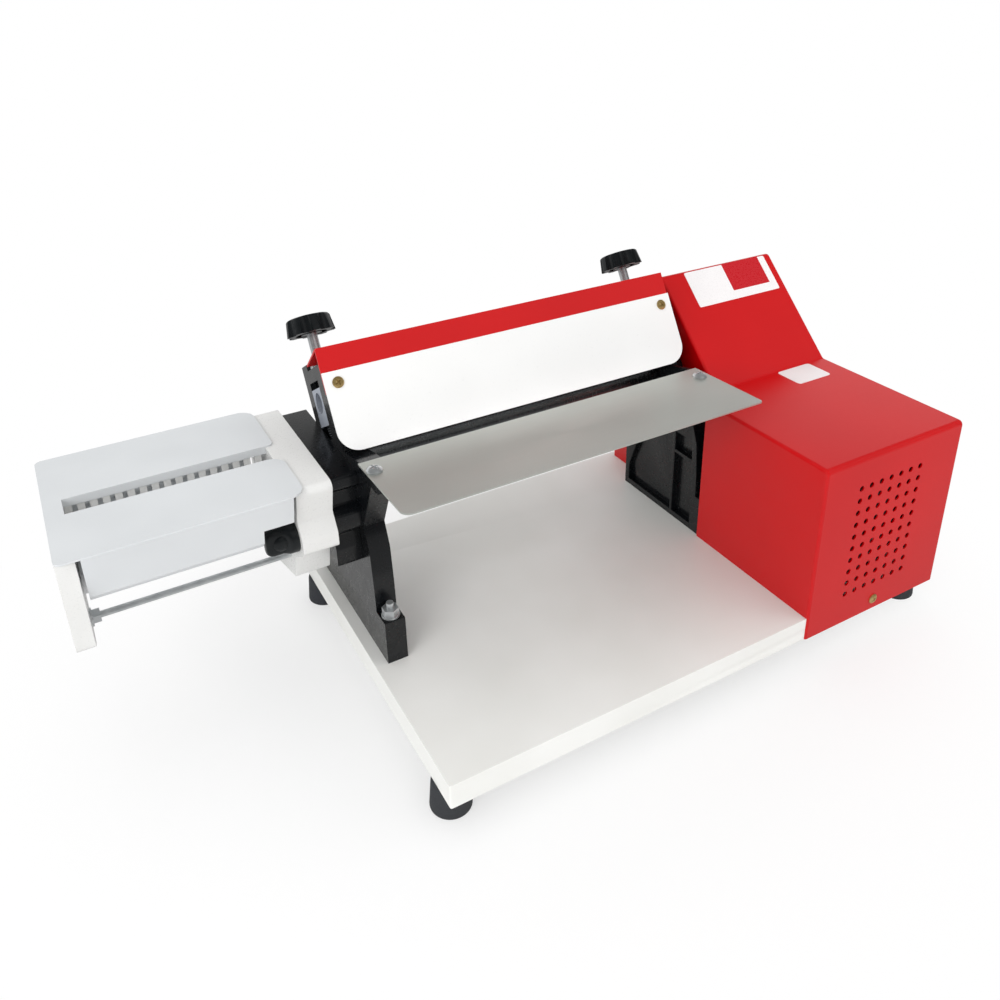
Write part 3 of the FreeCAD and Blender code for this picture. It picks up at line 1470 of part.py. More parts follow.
def make_combs():
    """The two toothed strips that line the cutter's slot."""
    pitch = (cutter_right - cutter_left) / cutter_rings
    combs = []
    for y in (front_plate_back - comb_inset - comb_thick, rear_plate_front + comb_inset):
        bar = box(end_plate_right, block_left, y, y + comb_thick, head_top - comb_bar, head_top)
        teeth = []
        for index in range(cutter_rings):
            x = cutter_left + index * pitch
            teeth.append(box(x, x + pitch * comb_tooth_share, y, y + comb_thick, head_top - comb_drop,
                             head_top))
        combs.append(fused([bar] + teeth))
    return Part.makeCompound(combs)


def make_cutting_roller(y, first):
    """A ringed cutting roller; its rings run in the other roller's grooves."""
    pitch = (cutter_right - cutter_left) / cutter_rings
    pieces = [rod_x(cutter_left, cutter_right, y, cutter_z, cutter_core_radius),
              rod_x(end_plate_right - head_bearing_depth + skin_clearance, cutter_left, y, cutter_z,
                    cutter_shaft_radius),
              rod_x(cutter_right, input_gear_end + overrun if first == 0 else
                    pair_gear_x + cutter_gear_width + cutter_gear_gap / 2.0, y, cutter_z,
                    cutter_shaft_radius)]
    for index in range(first, cutter_rings, 2):
        x = cutter_left + index * pitch
        pieces.append(rod_x(x + cutter_ring_gap / 2.0, x + pitch - cutter_ring_gap / 2.0, y, cutter_z,
                            cutter_ring_radius))
    return fused(pieces)


def make_tie_rods():
    """The cutter's tie rods, with a nut and washer against the end plate."""
    pieces = []
    for y in (tie_rod_front_y, tie_rod_rear_y):
        pieces.append(rod_x(end_plate_right - tie_rod_bite, block_left + tie_rod_bite, y, tie_rod_z,
                            tie_rod_radius))
        washer = rod_x(end_plate_right, end_plate_right + washer_thick, y, tie_rod_z,
                       tie_washer_radius)
        nut_x = end_plate_right + washer_thick
        nut = prism_yz(ring_points(y, tie_rod_z, tie_nut_across, 6), nut_x, nut_x + tie_nut_height)
        bore = rod_x(end_plate_right - overrun, nut_x + tie_nut_height + overrun, y, tie_rod_z,
                     tie_rod_radius + fit_clearance)
        pieces.append(washer.cut(bore))
        pieces.append(nut.cut(bore))
    return Part.makeCompound(pieces)


def make_lock_knob():
    """The winged knob that locks the cutting head on its adapter."""
    face = block_left - skin_clearance
    collar = rod_x(face - lock_collar_length, face, lock_y, lock_z, lock_collar_radius)
    shank = rod_x(face, block_left + lock_shank_length - skin_clearance, lock_y, lock_z,
                  lock_shank_radius)
    tip = face - lock_collar_length - lock_grip_length
    half_thick = lock_grip_thick / 2.0
    half_width = lock_grip_width / 2.0
    wing = [(tip, lock_z - half_width + rib_step / 2.0), (tip, lock_z + half_width - rib_step / 2.0),
            (face - lock_collar_length + overrun, lock_z + half_width),
            (face - lock_collar_length + overrun, lock_z - half_width)]
    grip = prism_xz(wing, lock_y - half_thick, lock_y + half_thick,
                    [rib_step / 2.0, rib_step / 2.0, 0, 0])
    return fused([collar, shank, grip])


nodes["cutter_adapter"] = make_adapter()
nodes["cutter_end_block"] = make_end_block()
nodes["cutter_end_plate"] = make_end_plate()
nodes["cutter_front_plate"] = make_head_sheet(head_front - rib_step, front_plate_back, apron_foot_y, 1.0)
nodes["cutter_rear_plate"] = make_head_sheet(head_back + rib_step, rear_plate_front, rear_apron_y, -1.0)
nodes["cutter_combs"] = make_combs()
nodes["front_cutting_roller"] = make_cutting_roller(front_cutter_y, 0)
nodes["rear_cutting_roller"] = make_cutting_roller(rear_cutter_y, 1)
nodes["cutter_tie_rods"] = make_tie_rods()
nodes["cutter_drive_gear"] = gear(input_gear_x, cutter_gear_width, lower_y, lower_z, input_teeth,
                                  input_module, input_bearing, journal_radius + fit_clearance)
nodes["cutter_input_gear"] = gear(input_gear_x, cutter_gear_width, front_cutter_y, cutter_z,
                                  input_teeth, input_module, mating_phase(input_bearing, input_teeth),
                                  cutter_shaft_radius + fit_clearance)
nodes["front_pair_gear"] = gear(pair_gear_x, cutter_gear_width, front_cutter_y, cutter_z, pair_teeth,
                                pair_module, 0.0, cutter_shaft_radius + fit_clearance)
nodes["rear_pair_gear"] = gear(pair_gear_x, cutter_gear_width, rear_cutter_y, cutter_z, pair_teeth,
                               pair_module, mating_phase(0.0, pair_teeth),
                               cutter_shaft_radius + fit_clearance)
nodes["lock_knob"] = make_lock_knob()


# Move the model to its base centre and write it

extent = Part.makeCompound(list(nodes.values())).optimalBoundingBox(False)
origin_x = extent.Center.x
origin_y = extent.Center.y
origin_z = -board_thick - foot_height

os.makedirs("parts", exist_ok=True)
for name, shape in nodes.items():
    placed = shape.copy()
    placed.translate(Vector(-origin_x, -origin_y, -origin_z))
    placed.exportStep("parts/" + name + ".step")
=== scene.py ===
import json
import logging
import math
from dataclasses import dataclass, field
from enum import Enum

import bmesh
import bpy
import numpy as np
from mathutils import Matrix, Vector

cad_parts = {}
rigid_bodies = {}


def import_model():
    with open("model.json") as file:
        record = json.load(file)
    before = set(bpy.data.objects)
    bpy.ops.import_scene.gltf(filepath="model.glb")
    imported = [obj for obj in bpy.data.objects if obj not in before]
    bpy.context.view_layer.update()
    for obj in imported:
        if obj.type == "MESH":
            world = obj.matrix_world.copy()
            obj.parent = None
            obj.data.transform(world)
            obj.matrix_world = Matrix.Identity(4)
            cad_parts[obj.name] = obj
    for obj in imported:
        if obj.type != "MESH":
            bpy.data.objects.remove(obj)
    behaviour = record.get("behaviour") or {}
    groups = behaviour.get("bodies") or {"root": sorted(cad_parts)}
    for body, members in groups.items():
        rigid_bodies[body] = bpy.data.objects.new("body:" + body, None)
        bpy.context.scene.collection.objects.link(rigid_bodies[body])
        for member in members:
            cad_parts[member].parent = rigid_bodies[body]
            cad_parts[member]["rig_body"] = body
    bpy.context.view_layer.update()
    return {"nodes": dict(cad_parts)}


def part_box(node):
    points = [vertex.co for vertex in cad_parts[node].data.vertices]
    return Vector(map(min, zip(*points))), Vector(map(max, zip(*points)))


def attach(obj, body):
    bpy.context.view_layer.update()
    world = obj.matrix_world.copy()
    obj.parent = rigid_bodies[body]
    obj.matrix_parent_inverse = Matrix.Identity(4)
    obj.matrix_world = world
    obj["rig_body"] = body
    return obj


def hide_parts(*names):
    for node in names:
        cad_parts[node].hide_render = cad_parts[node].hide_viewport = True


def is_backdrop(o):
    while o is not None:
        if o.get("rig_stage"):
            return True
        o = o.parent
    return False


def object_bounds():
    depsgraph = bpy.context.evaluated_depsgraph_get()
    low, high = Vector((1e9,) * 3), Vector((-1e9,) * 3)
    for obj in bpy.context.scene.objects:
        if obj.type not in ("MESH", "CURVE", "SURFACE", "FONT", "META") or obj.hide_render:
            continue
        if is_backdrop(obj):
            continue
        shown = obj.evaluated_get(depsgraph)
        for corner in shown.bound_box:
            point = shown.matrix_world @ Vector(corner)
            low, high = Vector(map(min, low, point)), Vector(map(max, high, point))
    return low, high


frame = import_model()
LOG = logging.getLogger("sheeter")
MM = 0.001
WHITE = (1.0, 1.0, 1.0, 1.0)
# Range of a noise over which a colour goes from one shade to the other, and the gloss likewise.
SHADE_FROM, SHADE_TO = 0.35, 0.65
GLOSS_FROM, GLOSS_TO = 0.3, 0.7
LEAST_ROUGHNESS = 0.02


# Numbers and colours

def linear(hex_colour: str) -> tuple[float, float, float, float]:
    """Turn an sRGB hex colour into linear light with full alpha.

    Args:
        hex_colour: Six hex digits, such as "c80008".

    Returns:
        Red, green, blue and alpha; each channel is c / 12.92 below 0.04045 and
        ((c + 0.055) / 1.055) to the power 2.4 above it.
    """
    values = [int(hex_colour[i:i + 2], 16) / 255.0 for i in (0, 2, 4)]
    light = [c / 12.92 if c <= 0.04045 else ((c + 0.055) / 1.055) ** 2.4 for c in values]
    return light[0], light[1], light[2], 1.0


def per_mm(size_mm: float) -> float:
    """Scale of a noise pattern whose grain is size_mm across, in object coordinates of metres."""
    return 1.0 / (size_mm * MM)


# Materials

def add_node(tree: bpy.types.NodeTree, kind: str, settings: dict | None = None,
             links: dict | None = None, **inputs: object) -> bpy.types.Node:
    """Add one node with its settings, input values and links.

    Args:
        tree: The material's node tree.
        kind: Blender's node type name.
        settings: Attributes of the node itself.
        links: Input name or number to the output socket that feeds it.
        inputs: Input name, with spaces as underscores, to its value.

    Returns:
        The new node.
    """
    node = tree.nodes.new(kind)
    for name, value in (settings or {}).items():
        setattr(node, name, value)
    for name, value in inputs.items():
        node.inputs[name.replace("_", " ")].default_value = value
    for name, socket in (links or {}).items():
        tree.links.new(socket, node.inputs[name])
    return node


class Grain(Enum):
    """How the surface was made, which sets the shape of its pattern in X, Y and Z."""

    EVEN = (1.0, 1.0, 1.0)
    BRUSHED_ALONG_X = (0.02, 1.0, 1.0)
    GROUND_ROUND_X = (1.0, 0.06, 0.06)


@dataclass(frozen=True)
class Finish:
    """One finish: what the thing is made of and how its surface was made.

    The pattern is two noises on object coordinates. The fine one makes the bump and
    breaks up the gloss, the broad one shifts the colour between two near shades.
    """

    name: str
    colour: str
    shade: str
    roughness: float
    metallic: float = 0.0
    ior: float = 1.5
    coat: float = 0.0
    coat_roughness: float = 0.1
    grain: Grain = Grain.EVEN
    fine_mm: float = 1.5
    broad_mm: float = 60.0
    bump: float = 0.05
    bump_mm: float = 0.05
    gloss_spread: float = 0.08
    anisotropy: float = 0.0
    specular: float = 0.5

    def build(self) -> bpy.types.Material:
        """Make the material, once, and give it back after that."""
        known = bpy.data.materials.get(self.name)
        if known is not None:
            return known
        material = bpy.data.materials.new(self.name)
        material.use_nodes = True
        tree = material.node_tree
        tree.nodes.clear()
        shader = add_node(tree, "ShaderNodeBsdfPrincipled", Metallic=self.metallic,
                          Roughness=self.roughness, IOR=self.ior, Coat_Weight=self.coat,
                          Coat_Roughness=self.coat_roughness, Anisotropic=self.anisotropy,
                          Specular_IOR_Level=self.specular)
        add_node(tree, "ShaderNodeOutputMaterial", links={"Surface": shader.outputs["BSDF"]})
        place = add_node(tree, "ShaderNodeTexCoord")
        spread = add_node(tree, "ShaderNodeMapping", links={"Vector": place.outputs["Object"]},
                          Scale=self.grain.value)
        fine = add_node(tree, "ShaderNodeTexNoise", links={"Vector": spread.outputs["Vector"]},
                        Scale=per_mm(self.fine_mm), Detail=4.0, Roughness=0.55)
        broad = add_node(tree, "ShaderNodeTexNoise", links={"Vector": place.outputs["Object"]},
                         Scale=per_mm(self.broad_mm), Detail=2.0, Roughness=0.5)
        self.colour_into(tree, shader, broad)
        gloss = add_node(tree, "ShaderNodeMapRange", links={"Value": fine.outputs["Fac"]},
                         From_Min=GLOSS_FROM, From_Max=GLOSS_TO,
                         To_Min=max(LEAST_ROUGHNESS, self.roughness - self.gloss_spread),
                         To_Max=min(1.0, self.roughness + self.gloss_spread))
        tree.links.new(gloss.outputs["Result"], shader.inputs["Roughness"])
        bump = add_node(tree, "ShaderNodeBump", links={"Height": fine.outputs["Fac"]},
                        Strength=self.bump, Distance=self.bump_mm * MM)
        tree.links.new(bump.outputs["Normal"], shader.inputs["Normal"])
        return material

    def colour_into(self, tree: bpy.types.NodeTree, shader: bpy.types.Node,
                    broad: bpy.types.Node) -> None:
        """Give the shader the two shades.

        Args:
            tree: The material's node tree.
            shader: The surface shader.
            broad: The broad noise.
        """
        tree.links.new(self.two_shades(tree, broad), shader.inputs["Base Color"])

    def two_shades(self, tree: bpy.types.NodeTree, broad: bpy.types.Node) -> bpy.types.NodeSocket:
        """Shift the colour softly between the two shades by the broad noise.

        Args:
            tree: The material's node tree.
            broad: The broad noise.

        Returns:
            The socket with the colour.
        """
        ramp = add_node(tree, "ShaderNodeMapRange", links={"Value": broad.outputs["Fac"]},
                        From_Min=SHADE_FROM, From_Max=SHADE_TO)
        mix = add_node(tree, "ShaderNodeMix", {"data_type": "RGBA"},
                       links={"Factor": ramp.outputs["Result"]})
        mix.inputs["A"].default_value = linear(self.colour)
        mix.inputs["B"].default_value = linear(self.shade)
        return mix.outputs["Result"]


# Melamine-faced board, pressed: an even, slightly pearly white with soft gloss.
LAMINATE = Finish("melamine_pressed_white", "f1f1ee", "ebebe7", 0.42, fine_mm=0.9, bump=0.10,
                  bump_mm=0.02, broad_mm=90.0)
# Moulded rubber: a dull dark grey that takes no highlight.
RUBBER = Finish("rubber_moulded_dark", "3b3d3f", "33353a", 0.75, fine_mm=0.8, bump=0.3,
                bump_mm=0.08, ior=1.45)
# Zinc-plated steel: a bright, faintly bluish metal.
ZINC = Finish("zinc_plated_steel", "dcdfe0", "c9cdcf", 0.34, 0.8, fine_mm=3.0, bump=0.04,
              bump_mm=0.03, broad_mm=12.0, gloss_spread=0.04)
# Gloss black enamel over a sand casting: deep black, wavy highlights.
BLACK_CASTING = Finish("black_enamel_on_sand_casting", "0e1013", "0a0c0e", 0.28, coat=0.3,
                       coat_roughness=0.12, fine_mm=7.0, bump=0.12, bump_mm=0.2, broad_mm=30.0,
                       gloss_spread=0.04, specular=0.25)
# Red powder coat: saturated red under a thin even orange peel.
RED_POWDER = Finish("red_powder_coat_baked", "cb0107", "c40006", 0.3, fine_mm=2.4, bump=0.03,
                    bump_mm=0.03, broad_mm=120.0, specular=0.42, gloss_spread=0.02)
# White powder coat on the guard: clean bright white.
WHITE_POWDER = Finish("white_powder_coat_baked", "f3f3f2", "efefee", 0.34, fine_mm=1.8, bump=0.10,
                      bump_mm=0.04, broad_mm=90.0)
# Brass-plated screws: pale yellow metal, slightly dulled.
BRASS = Finish("brass_plated_steel", "dcbf82", "c4a66a", 0.36, 0.8, fine_mm=0.9, bump=0.15,
               bump_mm=0.04, broad_mm=6.0)
# Stainless sheet, brushed along the rollers: a satin grey with soft long streaks.
STAINLESS = Finish("stainless_brushed_sheet", "ced1cb", "c5c8c2", 0.4, 0.76,
                   grain=Grain.BRUSHED_ALONG_X, fine_mm=0.7, bump=0.06, bump_mm=0.03,
                   broad_mm=140.0, anisotropy=0.3, gloss_spread=0.05)
# Hard-chromed rollers, ground: a steel mirror with faint rings, its colour darkened as painted
# shade for the gap under the guard.
CHROME_GROUND_PAINTED_SHADE = Finish("chrome_ground_roller_painted_shade", "6f7173", "66686a", 0.22, 1.0,
                       grain=Grain.GROUND_ROUND_X, fine_mm=0.6, bump=0.06, bump_mm=0.02)
# Sintered bronze bushes: warm brown metal, matt.
BRONZE = Finish("bronze_sintered_bush", "a5773f", "8d6434", 0.45, 1.0, fine_mm=0.6, bump=0.3,
                bump_mm=0.05, broad_mm=8.0)
# Die-cast slider block: pale bluish grey, satin.
BLOCK_ALLOY = Finish("zinc_alloy_die_cast", "bfc5cf", "b3bac6", 0.42, 0.55, fine_mm=1.5, bump=0.2,
                     bump_mm=0.05, broad_mm=12.0)
# Spring wire: dark blued steel.
SPRING_WIRE = Finish("spring_steel_wound", "5c6064", "4b4f54", 0.35, 1.0, fine_mm=0.6, bump=0.1,
                     bump_mm=0.02)
# Black phenolic knobs, moulded: almost black with a soft sheen.
KNOB_BLACK = Finish("phenolic_moulded_black", "14181a", "0f1315", 0.34, coat=0.06, fine_mm=1.0,
                    bump=0.12, bump_mm=0.04, broad_mm=15.0, specular=0.35)
# Hobbed gear steel with an oil film.
GEAR_STEEL = Finish("gear_steel_hobbed", "85888a", "75787b", 0.34, 1.0, fine_mm=0.8, bump=0.2,
                    bump_mm=0.04, grain=Grain.GROUND_ROUND_X)
# Cut nylon gear: milky off-white.
NYLON = Finish("nylon_cut_natural", "e6e1d0", "ded8c4", 0.45, fine_mm=0.7, bump=0.2, bump_mm=0.04)
# Turned aluminium pulleys: bright rings.
ALUMINIUM = Finish("aluminium_turned", "c4c6c8", "b6b8bb", 0.3, 1.0, fine_mm=0.5, bump=0.2,
                   bump_mm=0.04, grain=Grain.GROUND_ROUND_X)
# Rubber belt: dead black.
BELT = Finish("belt_rubber_moulded", "17181a", "121315", 0.7, fine_mm=0.8, bump=0.3, bump_mm=0.06)
# Galvanised plate, hot-dipped: mottled grey.
GALVANISED = Finish("steel_galvanised_sheet", "9fa4a8", "8c9195", 0.42, 0.9, fine_mm=3.0,
                    bump=0.12, bump_mm=0.05, broad_mm=14.0)
# Motor enamel: dark grey paint on a pressed can.
MOTOR_ENAMEL = Finish("motor_enamel_sprayed", "3c4248", "343a40", 0.4, fine_mm=1.6, bump=0.25,
                      bump_mm=0.08)
# Varnished copper wire and iron: brown, streaked along the turns.
WINDINGS = Finish("copper_wire_varnished", "8a4a22", "6e3a1c", 0.35, 0.7, fine_mm=0.9, bump=0.6,
                  bump_mm=0.3, grain=Grain.GROUND_ROUND_X)
# Capacitor case: pale grey moulded plastic.
CASE_PLASTIC = Finish("abs_moulded_grey", "cfcfca", "c4c4be", 0.4, fine_mm=1.2, bump=0.15,
                      bump_mm=0.04)
# Switch and gland plastic: black nylon, lightly textured.
BLACK_NYLON = Finish("nylon_moulded_black", "1c1d1f", "151618", 0.42, fine_mm=0.7, bump=0.3,
                     bump_mm=0.05, broad_mm=10.0)
# White ABS of the cutting head's ends, moulded: smooth and bright.
WHITE_ABS = Finish("abs_moulded_white", "e8e8e6", "e2e2e0", 0.32, fine_mm=1.2, bump=0.08,
                   bump_mm=0.03, coat=0.1)
# White enamel of the cutting head's sheets: cool white, a little softer than the ends.
WHITE_ENAMEL = Finish("white_enamel_stoved", "dadddf", "d4d7d9", 0.38, fine_mm=1.6, bump=0.10,
                      bump_mm=0.03, broad_mm=80.0)
# Cutting rollers turned from white acetal: pale, satin, with faint rings.
CUTTER_ACETAL = Finish("acetal_turned_white", "e4e6e7", "dadcde", 0.35, fine_mm=0.6, bump=0.08,
                       bump_mm=0.02, grain=Grain.GROUND_ROUND_X)
# Plain vinyl film, calendered: a soft white sheen.
BLANK_FILM = Finish("vinyl_film_plain_blank", "f0eaea", "e8e2e2", 0.35, fine_mm=1.0, bump=0.05)


@dataclass(frozen=True)
class PatchedFilm(Finish):
    """A blank self-adhesive film with one plain coloured block, given as a box in metres."""

    patch: str = "c4121f"
    low: tuple[float, float] = (0.0, 0.0)
    high: tuple[float, float] = (0.0, 0.0)

    def colour_into(self, tree: bpy.types.NodeTree, shader: bpy.types.Node,
                    broad: bpy.types.Node) -> None:
        """Fill the block between the low and high corners in X and Z with the patch colour.

        Args:
            tree: The material's node tree.
            shader: The surface shader.
            broad: The broad noise.
        """
        place = add_node(tree, "ShaderNodeTexCoord")
        parts = add_node(tree, "ShaderNodeSeparateXYZ", links={"Vector": place.outputs["Object"]})
        inside = None
        for axis, low, high in (("X", self.low[0], self.high[0]), ("Z", self.low[1], self.high[1])):
            for limit, sense in ((low, "GREATER_THAN"), (high, "LESS_THAN")):
                test = add_node(tree, "ShaderNodeMath", {"operation": sense},
                                links={0: parts.outputs[axis]})
                test.inputs[1].default_value = limit
                if inside is None:
                    inside = test
                else:
                    inside = add_node(tree, "ShaderNodeMath", {"operation": "MULTIPLY"},
                                      links={0: inside.outputs[0], 1: test.outputs[0]})
        mix = add_node(tree, "ShaderNodeMix", {"data_type": "RGBA"},
                       links={"Factor": inside.outputs[0], "A": self.two_shades(tree, broad)})
        mix.inputs["B"].default_value = linear(self.patch)
        tree.links.new(mix.outputs["Result"], shader.inputs["Base Color"])


# Meshes

# Points of a CAD mesh nearer than this are one, and faces that turn less than this are one face.
CAD_MERGE_MM = 0.002
FLAT_DEGREES = 0.5


def clean(mesh: bpy.types.Mesh, merge_mm: float = 0.001) -> None:
    """Merge doubles, drop zero faces and point every face outwards.

    Args:
        mesh: The mesh to clean.
        merge_mm: Vertices nearer than this are one.
    """
    work = bmesh.new()
    work.from_mesh(mesh)
    bmesh.ops.remove_doubles(work, verts=work.verts, dist=merge_mm * MM)
    bmesh.ops.dissolve_degenerate(work, edges=work.edges, dist=merge_mm * MM)
    bmesh.ops.recalc_face_normals(work, faces=work.faces)
    work.to_mesh(mesh)
    work.free()


def new_piece(node: str, mesh: bpy.types.Mesh, finish: Finish,
              smooth_degrees: float = 35.0) -> bpy.types.Object:
    """Link a mesh as the finished form of a CAD node, which it replaces.

    Args:
        node: The CAD node.
        mesh: The finished mesh, in place.
        finish: Its finish.
        smooth_degrees: Edges sharper than this stay sharp.

    Returns:
        The new object.
    """
    piece = bpy.data.objects.new(node + "_finished", mesh)
    bpy.context.scene.collection.objects.link(piece)
    mesh.materials.clear()
    mesh.materials.append(finish.build())
    mesh.shade_smooth()
    mesh.set_sharp_from_angle(angle=math.radians(smooth_degrees))
    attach(piece, frame["nodes"][node]["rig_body"])
    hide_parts(node)
    return piece


def grid_mesh(name: str, points: np.ndarray, wrap: bool) -> bpy.types.Mesh:
    """A mesh over a grid of points.

    Quad (i, j) joins points (i, j), (i, j+1), (i+1, j+1) and (i+1, j); with wrap the
    last column joins the first. Rows that shrink to a point close the ends.

    Args:
        name: The mesh's name.
        points: Array of rows by columns by 3, in metres.
        wrap: Whether columns go round.

    Returns:
        The mesh, with doubles merged and faces outwards.
    """
    rows, columns = points.shape[:2]
    index = np.arange(rows * columns).reshape(rows, columns)
    right = np.roll(index, -1, axis=1)
    last = columns if wrap else columns - 1
    quads = np.stack([index[:-1, :last], right[:-1, :last], right[1:, :last],
                      index[1:, :last]], axis=-1).reshape(-1, 4)
    mesh = bpy.data.meshes.new(name)
    mesh.from_pydata(points.reshape(-1, 3), [], quads)
    clean(mesh)
    return mesh


def join(name: str, meshes: list[bpy.types.Mesh]) -> bpy.types.Mesh:
    """One mesh from several.

    Args:
        name: The new mesh's name.
        meshes: The parts, which are removed.

    Returns:
        The joined mesh.
    """
    work = bmesh.new()
    for mesh in meshes:
        work.from_mesh(mesh)
        bpy.data.meshes.remove(mesh)
    whole = bpy.data.meshes.new(name)
    work.to_mesh(whole)
    work.free()
    return whole


def placed(points: np.ndarray, at: Vector, axis: Vector) -> np.ndarray:
    """Points drawn about Z, turned so that Z lies along axis, and moved to a place.

    Args:
        points: Array that ends in 3.
        at: Where the origin goes.
        axis: Where Z goes.

    Returns:
        The moved points.
    """
    turn = np.array(Vector((0, 0, 1)).rotation_difference(axis.normalized()).to_matrix())
    return points @ turn.T + np.array(at)


def lofted(stations: np.ndarray, columns: int) -> np.ndarray:
    """A closed skin through rounded-box sections along Z.

    Each station is height, half-width, half-depth and power n. Point j of a section lies at
    half-width sgn(cos t) |cos t| to the 2 / n and half-depth sgn(sin t) |sin t| to the 2 / n,
    with t = 2 pi j / columns. The first and last sections are closed by a point.

    Args:
        stations: Array of stations by 4, in metres apart from the power.
        columns: How many points go round.

    Returns:
        Array of rows by columns by 3.
    """
    angle = np.linspace(0.0, 2.0 * np.pi, columns, endpoint=False)
    height, wide, deep, power = (stations[:, k, None] for k in range(4))
    x = wide * np.sign(np.cos(angle)) * np.abs(np.cos(angle)) ** (2.0 / power)
    y = deep * np.sign(np.sin(angle)) * np.abs(np.sin(angle)) ** (2.0 / power)
    skin = np.stack([x, y, np.broadcast_to(height, x.shape)], axis=-1)
    caps = [np.broadcast_to([0.0, 0.0, end], (1, columns, 3)) for end in stations[[0, -1], 0]]
    return np.concatenate([caps[0], skin, caps[1]])


def softened(node: str, finish: Finish, width_mm: float, segments: int = 2,
             angle_degrees: float = 40.0) -> bpy.types.Object:
    """A copy of a CAD node with its edges rounded over, as casting or moulding leaves them.

    Args:
        node: The CAD node, which the copy replaces.
        finish: The copy's finish.
        width_mm: Width of the rounding.
        segments: Faces across the rounding.
        angle_degrees: Edges sharper than this are rounded.

    Returns:
        The new piece.
    """
    mesh = frame["nodes"][node].data.copy()
    work = bmesh.new()
    work.from_mesh(mesh)
    bmesh.ops.remove_doubles(work, verts=work.verts, dist=CAD_MERGE_MM * MM)
    bmesh.ops.dissolve_limit(work, angle_limit=math.radians(FLAT_DEGREES), verts=work.verts,
                             edges=work.edges)
    work.to_mesh(mesh)
    work.free()
    piece = new_piece(node, mesh, finish)
    bevel = piece.modifiers.new("edge_rounding", "BEVEL")
    bevel.width = width_mm * MM
    bevel.segments = segments
    bevel.limit_method = "ANGLE"
    bevel.angle_limit = math.radians(angle_degrees)
    bevel.harden_normals = True
    bevel.miter_outer = "MITER_ARC"
    return piece


def dress(node: str, finish: Finish) -> None:
    """Give a CAD node its finish.

    Args:
        node: The CAD node.
        finish: Its finish.
    """
    mesh = frame["nodes"][node].data
    mesh.materials.clear()
    mesh.materials.append(finish.build())


# Screws

def on_board(x: float, y: float, z: float) -> Vector:
    """A place given in millimetres from the board's front left top corner."""
    low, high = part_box("base_board")
    return Vector((low.x, low.y, high.z)) + Vector((x, y, z)) * MM


@dataclass
class ScrewHead:
    """A round screw head with a cross recess, drawn about its own axis."""

    radius_mm: float = 4.2
    height_mm: float = 2.0
    recess_mm: float = 1.2
    slot_mm: float = 0.9
    arm_mm: float = 2.6
    wall_mm: float = 0.25
    skirt_share: float = 0.35
    dome_power: float = 3.0
    run_out_share: float = 1.3
    rings: int = 22
    columns: int = 64

    def points(self) -> np.ndarray:
        """Height is a skirt and a dome, h (1 - (r / R) to a power), less the recess of the cross.

        The cross is where |x| or |y| is under half the slot and the other under the arm. The
        recess deepens over the wall and runs out towards the end of the arm.

        Returns:
            Array of rings by columns by 3, from the centre to the seat.
        """
        radius = self.radius_mm * MM
        share = np.linspace(0.0, 1.0, self.rings)
        radii = radius * share
        angle = np.linspace(0.0, 2.0 * np.pi, self.columns, endpoint=False)
        x = radii[:, None] * np.cos(angle)
        y = radii[:, None] * np.sin(angle)
        rise = (1.0 - self.skirt_share) * (1.0 - share[:, None] ** self.dome_power)
        dome = self.height_mm * MM * (self.skirt_share + rise)
        half = self.slot_mm * MM / 2.0
        arm = self.arm_mm * MM
        cross = np.minimum(np.maximum(np.abs(x) - half, np.abs(y) - arm),
                           np.maximum(np.abs(y) - half, np.abs(x) - arm))
        depth = np.clip(-cross / (self.wall_mm * MM), 0.0, 1.0) * self.recess_mm * MM
        depth = depth * np.clip(self.run_out_share - np.hypot(x, y) / arm, 0.0, 1.0)
        top = np.stack([x, y, dome - depth], axis=-1)
        skirt = np.stack([x[-1], y[-1], np.zeros(self.columns)], axis=-1)[None]
        foot = np.zeros((1, self.columns, 3))
        return np.concatenate([top, skirt, foot])

    def mesh(self, name: str, at: Vector, axis: Vector, spin_degrees: float) -> bpy.types.Mesh:
        """The head set on a face.

        Args:
            name: The mesh's name.
            at: Centre of the face it sits on.
            axis: The way the head points.
            spin_degrees: How far the cross is turned.

        Returns:
            The mesh.
        """
        turn = math.radians(spin_degrees)
        spun = self.points() @ np.array(Matrix.Rotation(turn, 3, "Z")).T
        return grid_mesh(name, placed(spun, at, axis), True)

    def replace(self, node: str, finish: Finish,
                places: list[tuple[Vector, Vector, float]]) -> None:
        """Set one head at each place, instead of a CAD node of screws.

        Args:
            node: The CAD node that the heads replace.
            finish: Their finish.
            places: Centre of the seat, way the head points and spin of its cross.
        """
        meshes = [self.mesh(f"{node}_{number}", at, axis, spin)
                  for number, (at, axis, spin) in enumerate(places)]
        new_piece(node, join(node + "_heads", meshes), finish)


# Studio

